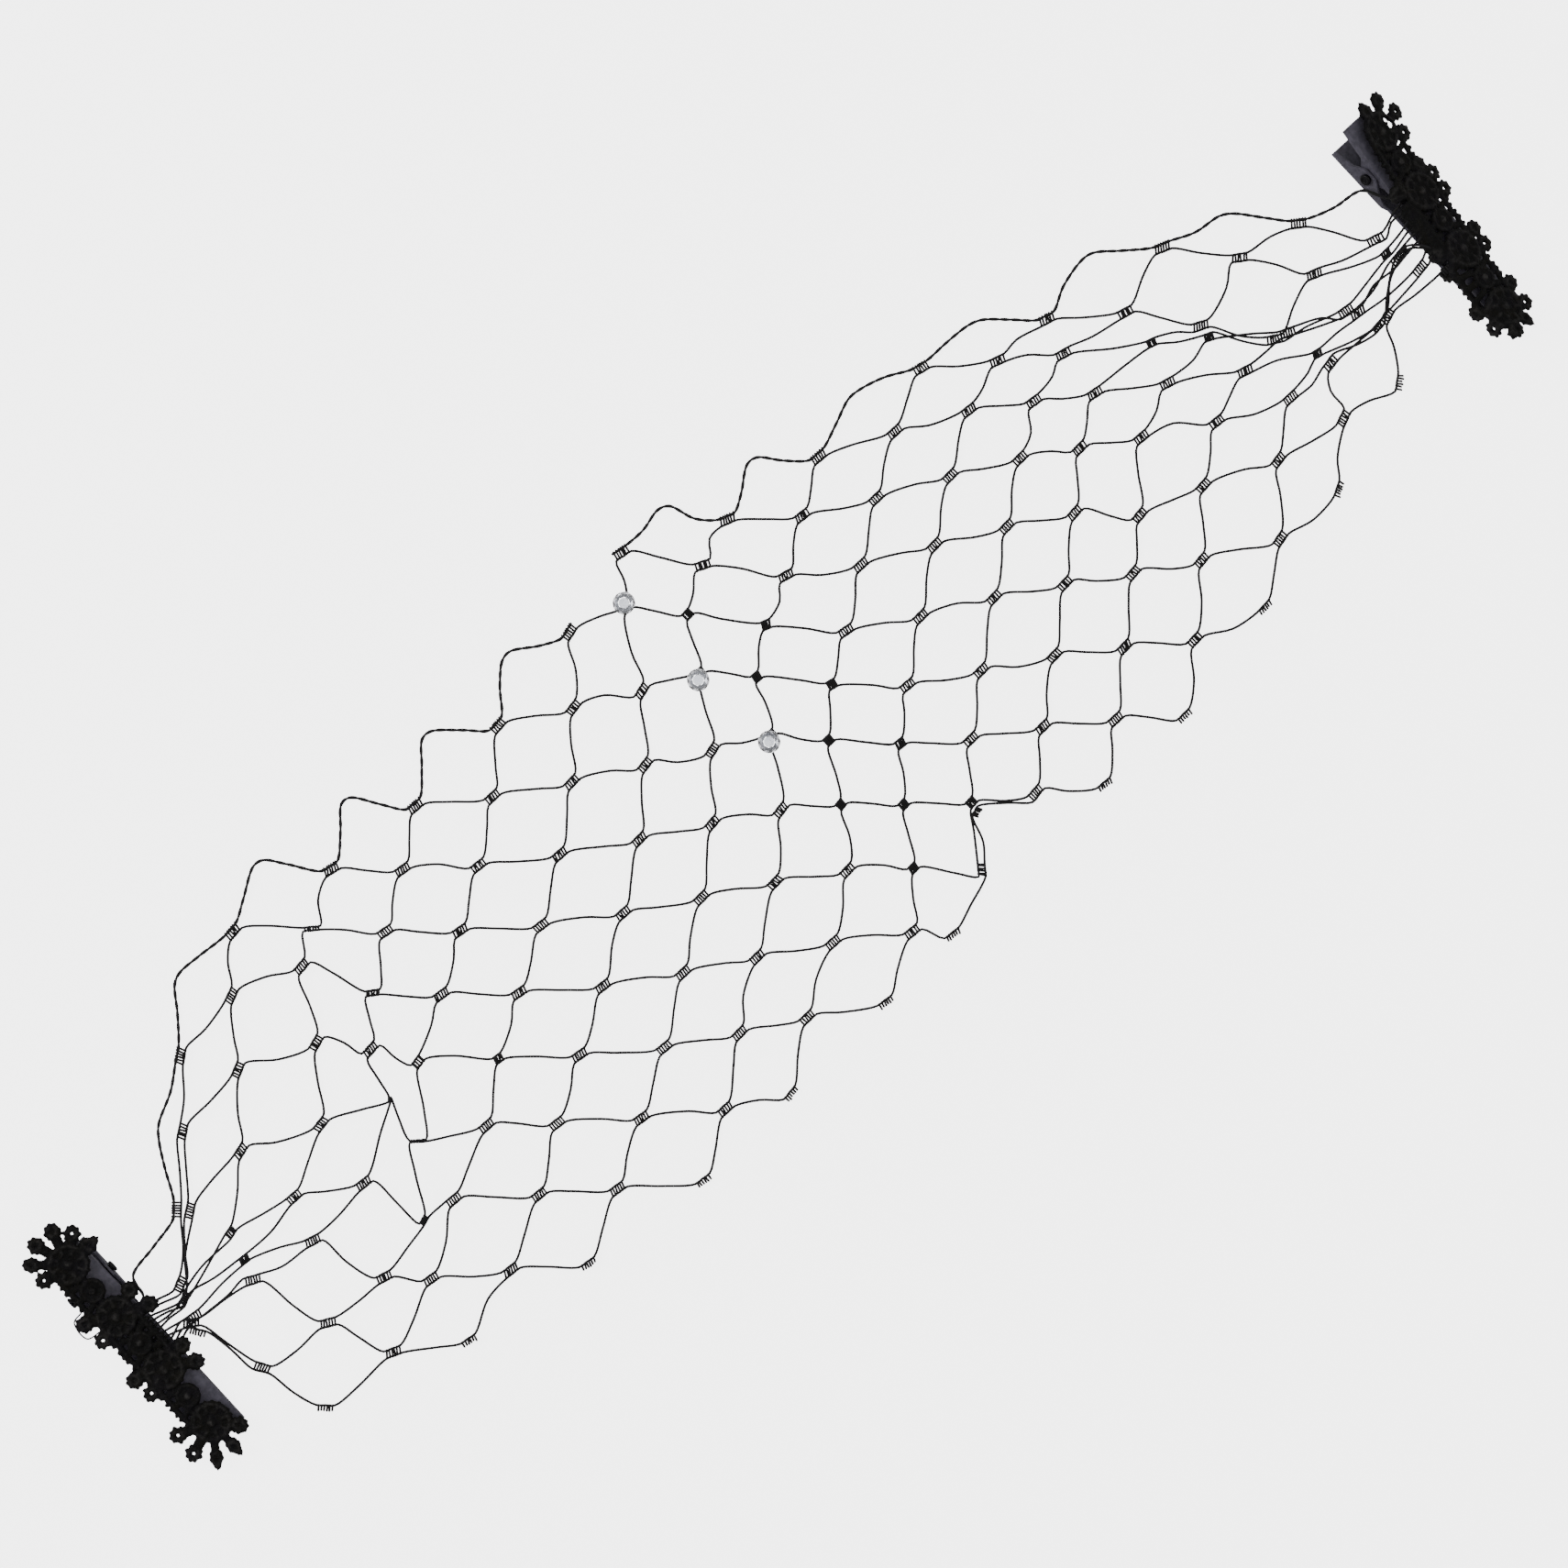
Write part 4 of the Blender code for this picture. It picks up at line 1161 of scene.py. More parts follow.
    def height(self, x: float, y: float) -> float:
        """Height of the net's middle surface over the table.

        Args:
            x: the place along the veil.
            y: the place across it.

        Returns:
            The height.
        """
        level = CLIP_A.net_height / 2
        nearness = min(1.0, abs(x) / (self.flat_share * CLIP_A.spacing)) ** 2
        wave = 0.5 * (1 + cos(2 * pi * y / self.ripple_pitch + 4 * x / CLIP_A.spacing))
        level += self.ripple_height * nearness * wave
        for (half, row), (_, _, lift) in FOLDS.items():
            if lift:
                centre = self.net_point(half / 2, row)
                away = hypot(x - centre.x, y - centre.y) / self.fold_reach
                level += lift * self.mesh_side * exp(-away * away * self.fold_sharpness)
        clip = CLIP_A if x < 0 else CLIP_B
        across, along = clip.to_plan(Vector((x, y)))
        edge = clip.deck_edge(along)
        outside = clip.net_side * (across - edge)
        if outside <= 0:
            return clip.deck_height(across, along)
        if outside < self.rise_run:
            rise = 1 - outside / self.rise_run
            rise = rise * rise * (3 - 2 * rise)
            level += (clip.deck_height(edge, along) - level) * rise
        return level

    def gathering(self, x: float) -> float:
        """How close a place is to a clip, from 0 in the open net to 1 at the clip."""
        away = CLIP_A.spacing / 2 - abs(x)
        return min(max(1 - away / self.gather_run, 0.0), 1.0)


# The net


@dataclass
class YarnNet:
    """The knotted net: thin yarns, thick plied selvedge, ladder rungs and cut stubs."""

    plan: NetPlan
    yarn_radius: float = 0.29 * MM
    rung_radius: float = 0.27 * MM
    rung_count: int = 6
    rung_pitch: float = 0.58 * MM
    outer_rung: float = 0.76
    rung_overhang: float = 0.14 * MM
    selvedge_overhang: float = 0.25 * MM
    rung_shoulder: float = 0.88
    rung_heights: tuple[float, float, float] = (-0.02, 0.24, 0.16)
    rung_slant: tuple[float, float] = (0.12, 0.08)
    ply_radius: float = 0.27 * MM
    ply_offset: float = 0.13 * MM
    ply_pitch: float = 4.8 * MM
    stub_length: float = 0.9 * MM
    stub_overhang: float = 0.15 * MM
    stray_height: float = 0.9 * MM
    stray_radius: float = 0.6
    sink: float = 0.02 * MM
    layer_lift: float = 0.06 * MM
    bow: float = 0.45 * MM
    bow_from: float = 6.0 * MM
    spacing: float = 1.25 * MM
    sides: int = 7
    seed: int = 11

    def __post_init__(self) -> None:
        """Seed the small irregularities."""
        self.chance = random.Random(self.seed)

    def raise_point(self, place: Vector, layer: int) -> Vector:
        """A place on the net's surface, with each yarn on its own small layer.

        Args:
            place: the place on the table.
            layer: the yarn's number.

        Returns:
            The place on the net.
        """
        level = self.plan.height(place.x, place.y) - self.sink
        lift = self.layer_lift * (layer % 3) * (1 + 5 * self.plan.gathering(place.x))
        return Vector((place.x, place.y, level + lift))

    def strand(self, half: int, row: int, side: int) -> list[Vector]:
        """Left end, middle and right end of one strand of a ladder, in plan.

        Args:
            half: the knot's half section along the veil.
            row: its row across the veil.
            side: 1 for the strand on the selvedge's side, -1 for the other.

        Returns:
            The three places.
        """
        ladder = self.plan.ladder(half, row)
        middle = ladder.centre + ladder.across * side * ladder.half_gap
        reach = ladder.axis * ladder.half_length
        return [middle - reach, middle, middle + reach]

    def run(self, places: list[Vector], layer: int) -> list[Vector]:
        """A smooth path over the net through places in plan, bowed a little where it is free.

        Args:
            places: the places.
            layer: the yarn's number.

        Returns:
            The path's points.
        """
        bowed = [places[0]]
        for first, second in zip(places, places[1:]):
            leg = second - first
            if leg.length > self.bow_from:
                sway = Vector((-leg.y, leg.x)).normalized() * self.chance.gauss(0.0, self.bow)
                bowed.append(first + leg * self.chance.uniform(0.4, 0.6) + sway)
            bowed.append(second)
        flat = smooth_path([Vector((p.x, p.y, 0.0)) for p in bowed], self.spacing)
        return [self.raise_point(p.to_2d(), layer) for p in flat]

    def thin_yarn(self, index: int) -> list[Vector]:
        """Path of a thin yarn, which zigzags between two rows of ladders.

        Args:
            index: the yarn's number, from the selvedge.

        Returns:
            The path's points.
        """
        share = (index + 1) / self.plan.last_row
        places = [CLIP_A.tab_point(share, CLIP_A.tab_depth), CLIP_A.tab_point(share)]
        for half in range(self.plan.first_half, self.plan.last_half + 1):
            if (half + index) % 2 == 0:
                places += self.strand(half, index, -1)
            else:
                places += self.strand(half, index + 1, 1)
        places += [CLIP_B.tab_point(share), CLIP_B.tab_point(share, CLIP_B.tab_depth)]
        return self.run(places, index)

    def corner(self, half: int) -> list[Vector]:
        """The two ends of the selvedge's rounded corner between two knots of row 0.

        Args:
            half: the corner's half section along the veil.

        Returns:
            The two places.
        """
        before, after = self.plan.knot_centre(half - 1, 0), self.plan.knot_centre(half + 1, 0)
        outward = Vector((before.y - after.y, after.x - before.x)).normalized()
        reach = SECTIONS[(half - 1) // 2].step * self.plan.mesh_side
        point = self.plan.net_point(half / 2, 0) + outward * reach
        legs = ((before - point).normalized(), (after - point).normalized())
        return [point + leg * self.plan.corner_rounding for leg in legs]

    def selvedge_paths(self) -> list[list[Vector]]:
        """The selvedge's two runs, one from each clip to the cut in the middle.

        Returns:
            The points of each run.
        """
        first = [CLIP_A.tab_point(0.0, CLIP_A.tab_depth), CLIP_A.tab_point(0.0)]
        for across, along in LEAD_A:
            first.append(Vector((CLIP_A.middle + across * MM, along * MM)))
        for half in range(0, self.plan.stone_half, 2):
            if half:
                first += self.corner(half - 1)
            first += self.strand(half, 0, 1)
        last = []
        for half in range(self.plan.stone_half + 1, self.plan.last_half, 2):
            last += self.strand(half, 0, 1)
            if half + 1 < self.plan.last_half - 1:
                last += self.corner(half + 1)
        for across, along in LEAD_B:
            last.append(Vector((CLIP_B.middle + across * MM, along * MM)))
        last += [CLIP_B.tab_point(0.0), CLIP_B.tab_point(0.0, CLIP_B.tab_depth)]
        return [self.run(first, 0), self.run(last, 0)]

    def plies(self, tubes: TubeMesh, path: list[Vector]) -> None:
        """Wind two plies round a path.

        Args:
            tubes: the mesh that they go into.
            path: the path's points.
        """
        dense = smooth_path(path, 0.7 * MM)
        travelled, strands = 0.0, ([], [])
        for i, place in enumerate(dense):
            ahead, behind = dense[min(i + 1, len(dense) - 1)], dense[max(i - 1, 0)]
            tangent = (ahead - behind).normalized()
            side = tangent.cross(Vector((0.0, 0.0, 1.0))).normalized()
            up = side.cross(tangent)
            if i:
                travelled += (place - dense[i - 1]).length
            for number, strand in enumerate(strands):
                angle = 2 * pi * travelled / self.ply_pitch + pi * number
                around = side * cos(angle) + up * (0.8 * sin(angle))
                strand.append(place + around * self.ply_offset + up * 0.12 * MM)
        for strand in strands:
            tubes.sweep(strand, self.ply_radius, self.sides, 0.6)

    def rungs(self, tubes: TubeMesh, half: int, row: int) -> None:
        """Wind the rungs of one ladder, or the cut stubs along the last row.

        Args:
            tubes: the mesh that they go into.
            half: the knot's half section along the veil.
            row: its row across the veil.
        """
        ladder = self.plan.ladder(half, row)
        cut = row == self.plan.last_row
        last = self.rung_count - 1
        top = ladder.half_gap + self.rung_overhang + (0.0 if row else self.selvedge_overhang)
        bottom = -ladder.half_gap - self.rung_overhang
        if cut:
            bottom = ladder.half_gap - self.stub_length - self.stub_overhang
        pitch = min(self.rung_pitch, 2 * ladder.half_length / last)
        slant = self.chance.gauss(*self.rung_slant) * MM
        end_height, shoulder_height, middle_height = self.rung_heights
        for k in range(self.rung_count):
            along = (k - last / 2) * pitch + self.chance.gauss(0.0, 0.04) * MM
            if k in (0, last):
                along = (1 if k else -1) * self.outer_rung * ladder.half_length
            lean = slant + self.chance.gauss(0.0, 0.05) * MM
            low = bottom
            if cut:
                low -= abs(self.chance.gauss(0.0, 0.18)) * MM
            marks = (
                (top, end_height),
                (self.rung_shoulder * top, shoulder_height),
                (0.0, middle_height),
                (self.rung_shoulder * low, shoulder_height),
                (low, end_height),
            )
            path = []
            for across, rise in marks:
                share = across / ladder.half_gap
                flat = ladder.centre + ladder.axis * (along + lean * share)
                spot = self.raise_point(flat + ladder.across * across, row)
                path.append(spot + Vector((0.0, 0.0, rise * MM)))
            tubes.sweep(path, self.rung_radius, 5, 0.7)

    def build(self, finish: bpy.types.Material) -> None:
        """Build and dress the net's two pieces.

        Args:
            finish: the material.
        """
        tubes = TubeMesh()
        for index in range(self.plan.last_row):
            tubes.sweep(self.thin_yarn(index), self.yarn_radius, self.sides)
        for half, row in self.plan.ladders():
            self.rungs(tubes, half, row)
        yarn = tubes.make("net_yarn", self.plan.shift)
        dress(yarn, finish, node="netting")
        edge = TubeMesh()
        for path in self.selvedge_paths():
            self.plies(edge, path)
        dress(edge.make("net_selvedge", self.plan.shift), finish)

    def loose_ends(self, finish: bpy.types.Material) -> None:
        """Build the stray loop and the stray hook of yarn beside clip a.

        Args:
            finish: the material.
        """
        tubes = TubeMesh()
        for places in STRAYS:
            raised = []
            for across, along in places:
                flat = CLIP_A.from_plan(across * MM, along * MM)
                level = CLIP_A.lift + CLIP_A.upper_top(along * MM) + self.stray_height
                raised.append(Vector((flat.x, flat.y, level)))
            radius = self.stray_radius * self.yarn_radius
            tubes.sweep(smooth_path(raised, 0.6 * MM), radius, 6, 0.7)
        dress(tubes.make("loose_threads", self.plan.shift), finish)


# Lace


@dataclass
class LaceTrim:
    """A chain of satin-stitched flowers with picot-edged petals, laid over a clip's upper lever."""

    clip: ClipLay
    petals: tuple[Petal, ...]
    borders: tuple[tuple[float, ...], ...]
    shift: Vector
    openings: tuple[tuple[float, float, float], ...] = ()
    flowers: int = 4
    pitch: float = 15.4 * MM
    round_radius: float = 4.7 * MM
    petal_reach: float = 8.6 * MM
    head_radius: float = 1.85 * MM
    cord: float = 0.76 * MM
    neck_width: float = 2.5 * MM
    picot: float = 0.46 * MM
    picots: int = 7
    picot_sweep: float = 128.0
    eyelet_width: float = 0.92
    leaf_taper: float = 0.45
    leaf_stretch: float = 1.25
    leaf_inset: float = 0.3 * MM
    petal_web: float = 0.55 * MM
    petal_bar: float = 0.6 * MM
    neck_depth: float = 0.85 * MM
    thickness: float = 1.2 * MM
    droop: float = 1.6 * MM
    droop_run: float = 10.0 * MM
    bend_radius: float = 1.0 * MM
    bend_angle: float = radians(80.0)
    clearance: float = 1.2 * MM
    rim_inset: float = 0.75 * MM
    rim_cord: float = 0.72 * MM
    rim_picots: int = 16
    web_depth: float = 0.6 * MM
    ring_radius: float = 2.1 * MM
    ring_cord: float = 0.5 * MM
    spokes: int = 8
    spoke_ends: tuple[float, float] = (2.3, 3.9)
    spoke_width: float = 0.95 * MM
    dome_radius: float = 1.3 * MM
    motif_radius: float = 2.3 * MM
    motif_cord: float = 0.6 * MM
    motif_dome: float = 0.9 * MM
    motif_reach: float = 2.9 * MM
    rib_width: float = 1.6 * MM
    strut_width: float = 1.5 * MM
    strut_depth: float = 0.7 * MM
    strut_spread: tuple[float, float, float] = (0.75, 3.0, 4.2)
    border_reach: float = 4.1 * MM
    border_width: float = 1.35 * MM
    border_depth: float = 0.95 * MM
    border_gap: float = 1.6 * MM
    border_taper: float = 0.93
    border_picots: int = 3
    border_picot_pitch: float = 1.55
    border_picot_out: float = 0.62 * MM
    wide_border: float = 1.5
    wide_border_start: float = 3.4 * MM
    # Heights over which the lace's painted sheen highlight fades in on the raised threads
    sheen_from_height: float = 0.38 * MM
    sheen_height_span: float = 0.42 * MM
    voxel: float = 0.19 * MM
    rough: float = 0.10 * MM
    seed: int = 5

    def __post_init__(self) -> None:
        """Seed the small irregularities of the handwork."""
        self.chance = random.Random(self.seed + self.clip.net_side)

    def torus(self, major: float, minor: float, steps: int) -> bpy.types.Object:
        """A flattened ring of cord.

        Args:
            major: the ring's radius.
            minor: the cord's radius.
            steps: how many segments go round.

        Returns:
            The ring.
        """
        bpy.ops.mesh.primitive_torus_add(
            major_segments=steps, minor_segments=8, major_radius=major, minor_radius=minor
        )
        return settle(bpy.context.object, Matrix.Diagonal((1.0, 1.0, 0.85, 1.0)))

    def disc(self, radius: float, depth: float) -> bpy.types.Object:
        """A thin round web of stitches with a softened rim.

        Args:
            radius: the radius.
            depth: how thick it is.

        Returns:
            The web.
        """
        bpy.ops.mesh.primitive_cylinder_add(vertices=24, radius=radius, depth=depth)
        web = bpy.context.object
        modify(web, "BEVEL", width=0.3 * depth, segments=2)
        return settle(web)

    def nub(self, place: Vector, radius: float) -> bpy.types.Object:
        """One picot, a small knot of thread."""
        bpy.ops.mesh.primitive_ico_sphere_add(subdivisions=2, radius=radius, location=place)
        return settle(bpy.context.object)

    def bar(self, start: Vector, end: Vector, width: float, depth: float) -> bpy.types.Object:
        """A stitched bar between two places of the flat lace.

        Args:
            start: one end.
            end: the other end.
            width: how wide it is.
            depth: how thick it is.

        Returns:
            The bar.
        """
        leg = end - start
        bpy.ops.mesh.primitive_cylinder_add(vertices=12, radius=0.5, depth=1.0)
        cord = bpy.context.object
        size = Matrix.Diagonal((depth, width, leg.length, 1.0))
        lie = Matrix.Rotation(pi / 2, 4, "Y")
        turn = Matrix.Rotation(atan2(leg.y, leg.x), 4, "Z")
        middle = Matrix.Translation((start + end) / 2)
        return settle(cord, middle @ turn @ lie @ size)

    def petal_head(self, kind: PetalKind) -> bpy.types.Object:
        """A petal's looped head about the origin, pointing along +X.

        Args:
            kind: how its inside is worked.

        Returns:
            The head.
        """
        loop = self.head_radius - self.cord
        parts = [self.torus(loop, self.cord, 20)]
        if kind is PetalKind.EYELET:
            parts[0].data.transform(Matrix.Diagonal((1.0, self.eyelet_width, 1.0, 1.0)))
        else:
            parts.append(self.disc(loop, self.petal_web))
            end = Vector((0.7 * loop, 0.0, 0.15 * MM))
            start = -end.reflect(Vector((0, 0, 1)))
            parts.append(self.bar(start, end, self.petal_bar, self.petal_bar))
        for k in range(self.picots):
            turn = -self.picot_sweep + 2 * self.picot_sweep * k / (self.picots - 1)
            angle = radians(turn + self.chance.gauss(0.0, 4.0))
            reach = self.head_radius - 0.4 * self.picot
            spot = Vector((reach * cos(angle), reach * sin(angle), 0.0))
            parts.append(self.nub(spot, self.picot * self.chance.uniform(0.85, 1.15)))
        head = join_pieces(parts, "petal_head")
        if kind is PetalKind.LEAF:
            for vertex in head.data.vertices:
                share = max(0.0, vertex.co.x / self.head_radius)
                vertex.co.y *= 1 - self.leaf_taper * share
                vertex.co.x *= self.leaf_stretch
        return head

    def flower_round(self) -> bpy.types.Object:
        """The round of a flower about the origin: rim, web, inner ring, spokes and dome.

        Returns:
            The round.
        """
        rim = self.round_radius - self.rim_inset
        parts = [
            self.torus(rim, self.rim_cord, 40),
            self.disc(rim, self.web_depth),
            self.torus(self.ring_radius, self.ring_cord, 24),
        ]
        for k in range(self.spokes):
            angle = 2 * pi * (k + 0.5) / self.spokes
            out = Vector((cos(angle), sin(angle), 0.0))
            lift = Vector((0.0, 0.0, 0.25 * MM))
            start, end = (out * reach * MM + lift for reach in self.spoke_ends)
            parts.append(self.bar(start, end, self.spoke_width, self.strut_depth))
        dome = self.nub(Vector((0.0, 0.0, 0.0)), self.dome_radius)
        dome.data.transform(Matrix.Diagonal((1.0, 1.0, 0.6, 1.0)))
        parts.append(dome)
        reach = self.round_radius - 0.22 * MM
        for k in range(self.rim_picots):
            angle = 2 * pi * k / self.rim_picots + self.chance.gauss(0.0, 0.07)
            spot = Vector((reach * cos(angle), reach * sin(angle), 0.0))
            parts.append(self.nub(spot, self.picot))
        return join_pieces(parts, "flower_round")

    def head_places(self) -> list[tuple[Vector, float, float, PetalKind, float]]:
        """Head place, bearing, width share, kind and reach of every petal.

        Returns:
            One row for each petal.
        """
        places = []
        for petal in self.petals:
            centre = self.flower_centre(petal.flower)
            angle = radians(petal.bearing)
            out = Vector((cos(angle), sin(angle), 0.0))
            reach = self.petal_reach * petal.reach - self.head_radius - 0.3 * self.picot
            if petal.kind is PetalKind.LEAF:
                reach -= self.leaf_inset
            places.append((centre + out * reach, angle, petal.width, petal.kind, reach))
        return places

    def flower_centre(self, flower: int) -> Vector:
        """Middle of a flower in the flat lace."""
        return Vector((0.0, ((self.flowers - 1) / 2 - flower) * self.pitch, 0.0))

    def junction_centre(self, number: int) -> Vector:
        """Middle of the small motif between a flower and the next."""
        return (self.flower_centre(number) + self.flower_centre(number + 1)) / 2

    def junction(self, number: int) -> list[bpy.types.Object]:
        """The small motif between two flowers and the scalloped borders beside it.

        Args:
            number: the junction's number along the clip.

        Returns:
            Its pieces.
        """
        middle = self.junction_centre(number)
        parts = [
            self.torus(self.motif_radius, self.motif_cord, 24),
            self.disc(self.motif_radius, self.web_depth),
            self.nub(Vector((0.0, 0.0, 0.1 * MM)), self.motif_dome),
        ]
        for part in parts:
            settle(part, Matrix.Translation(middle))
        for across in self.borders[number]:
            x = across * self.border_reach
            side = 1 if x > 0 else -1
            drop = self.pitch / 2 - self.border_gap
            for y_start, y_end in ((drop, 0.0), (0.0, -drop)):
                start = middle + Vector((x, y_start, 0.0))
                end = middle + Vector((x * self.border_taper, y_end, 0.0))
                parts.append(self.bar(start, end, self.border_width, self.border_depth))
            rib_end = middle + Vector((x, 0.0, 0.0))
            parts.append(self.bar(middle, rib_end, self.rib_width, self.strut_depth))
            if abs(across) > self.wide_border:
                inner_edge = side * self.wide_border_start
                web = Vector(((x + inner_edge) / 2, self.pitch / 2, 0.0))
                start, end = middle + web, middle + web.reflect(Vector((0.0, 1.0, 0.0)))
                parts.append(self.bar(start, end, abs(x - inner_edge), 0.8 * MM))
            spread, near, far = self.strut_spread
            for share in (-spread, spread):
                inner = middle + Vector((0.35 * x, share * near * MM, 0.0))
                outer = middle + Vector((x, share * far * MM, 0.0))
                parts.append(self.bar(inner, outer, self.strut_width, self.strut_depth))
            for k in range(-self.border_picots, self.border_picots + 1):
                y = k * self.border_picot_pitch * MM + self.chance.gauss(0.0, 0.12) * MM
                spot = middle + Vector((x + side * self.border_picot_out, y, 0.0))
                parts.append(self.nub(spot, self.picot * self.chance.uniform(1.0, 1.35)))
        return parts

    def flat_lace(self) -> bpy.types.Object:
        """All flowers, petals and necks of the flat lace in one mesh.

        Returns:
            The joined lace.
        """
        heads = {kind: self.petal_head(kind) for kind in PetalKind}
        flower = self.flower_round()
        parts = []
        for number in range(self.flowers):
            turn = Matrix.Rotation(self.chance.uniform(-0.2, 0.2), 4, "Z")
            spot = Matrix.Translation(self.flower_centre(number)) @ turn
            parts.append(self.stamp(flower, spot))
            if number < self.flowers - 1:
                parts += self.junction(number)
        for place, angle, width, kind, reach in self.head_places():
            out = Vector((cos(angle), sin(angle), 0.0))
            size = Matrix.Diagonal((1.0, width, 1.0, 1.0))
            spot = Matrix.Translation(place) @ Matrix.Rotation(angle, 4, "Z") @ size
            parts.append(self.stamp(heads[kind], spot))
            start = place - out * (reach - self.round_radius + 0.6 * MM)
            end = place - out * (self.head_radius - 0.8 * self.cord)
            parts.append(self.bar(start, end, self.neck_width * width, self.neck_depth))
        for pattern in (*heads.values(), flower):
            bpy.data.objects.remove(pattern)
        return join_pieces(parts, "lace_" + self.clip.name)

    def stamp(self, pattern: bpy.types.Object, matrix: Matrix) -> bpy.types.Object:
        """A copy of a pattern, with its place in its mesh.

        Args:
            pattern: the pattern.
            matrix: where the copy goes.

        Returns:
            The copy.
        """
        copy = new_object(pattern.name, pattern.data.copy())
        copy.data.transform(matrix)
        return copy

    def map_loops(self, mesh: bpy.types.Mesh) -> None:
        """UV map from the middle of the nearest loop or flower, in millimetres.

        Args:
            mesh: the mesh.
        """
        hubs = [(place, self.head_radius * 1.15) for place, *rest in self.head_places()]
        rounds = [self.flower_centre(number) for number in range(self.flowers)]
        for number in range(self.flowers - 1):
            hubs.append((self.junction_centre(number), self.motif_reach))
        layer = mesh.uv_layers.new(name="UVMap")
        corners = [vertex.co.copy() for vertex in mesh.vertices]
        for face in mesh.polygons:
            middle = face.center
            hub = min(rounds, key=lambda spot: (spot - middle).length_squared)
            for place, reach in hubs:
                if (place - middle).length_squared < reach * reach:
                    hub = place
                    break
            for index in face.loop_indices:
                corner = corners[mesh.loops[index].vertex_index]
                layer.data[index].uv = ((corner.x - hub.x) / MM, (corner.y - hub.y) / MM)

    def lay(self, point: Vector) -> Vector:
        """Where a point of the flat lace comes to lie on the lever.

        Args:
            point: the point.

        Returns:
            Its place in the clip's own frame.
        """
        skew = self.clip.lace_skew
        x = self.clip.lace_offset[0] + point.x * cos(skew) - point.y * sin(skew)
        y = self.clip.lace_offset[1] + point.x * sin(skew) + point.y * cos(skew)
        half = self.clip.lever_width / 2
        level = self.clip.upper_top(y) + self.clearance
        lift = self.thickness / 2 + point.z
        beyond = self.clip.net_side * x - half
        if self.clip.roll and beyond > 0:
            angle = min(beyond / self.bend_radius, self.bend_angle)
            rest = beyond - angle * self.bend_radius
            out = half + self.bend_radius * sin(angle) + rest * cos(self.bend_angle)
            drop = self.bend_radius * (1 - cos(angle)) + rest * sin(self.bend_angle)
            out += lift * sin(angle)
            return Vector((self.clip.net_side * out, y, level - drop + lift * cos(angle)))
        over = max(0.0, abs(x) - half) / self.droop_run
        return Vector((x, y, level - self.droop * over * over + lift))

    def open_holes(self, lace: bpy.types.Object) -> None:
        """Cut the few larger openings between stitches.

        Args:
            lace: the flat lace.
        """
        for across, along, radius in self.openings:
            bpy.ops.mesh.primitive_cylinder_add(
                vertices=16, radius=radius * MM, depth=6.0 * MM,
                location=(across * MM, along * MM, 0.0),
            )
            cutter = settle(bpy.context.object)
            modify(lace, "BOOLEAN", operation="DIFFERENCE", object=cutter)
            bpy.data.objects.remove(cutter)

    def build(self, finish: bpy.types.Material) -> None:
        """Build and dress the trim.

        Args:
            finish: the material.
        """
        lace = self.flat_lace()
        modify(lace, "REMESH", mode="VOXEL", voxel_size=self.voxel)
        modify(lace, "SMOOTH", factor=0.5, iterations=1)
        self.open_holes(lace)
        mesh = lace.data
        normals = [vertex.normal.copy() for vertex in mesh.vertices]
        for vertex, normal in zip(mesh.vertices, normals):
            coarse, fine = (noise.noise(vertex.co / (size * MM)) for size in (0.55, 0.27))
            vertex.co += normal * (coarse + 0.5 * fine) * self.rough
        self.map_loops(mesh)
        # Each point's height, from which the lace material paints a sheen highlight on the raised
        # threads
        sheen_heights = [(vertex.co.z - self.sheen_from_height) / self.sheen_height_span for vertex in mesh.vertices]
        set_marks(mesh, "rise", "POINT", [min(max(value, 0.0), 1.0) for value in sheen_heights])
        for vertex in mesh.vertices:
            vertex.co = self.lay(vertex.co)
        mesh.transform(Matrix.Translation(self.shift) @ self.clip.place())
        pick(lace)
        bpy.ops.object.shade_smooth()
        dress(lace, finish, node="lace_trim_" + self.clip.name)


# Clips and stones


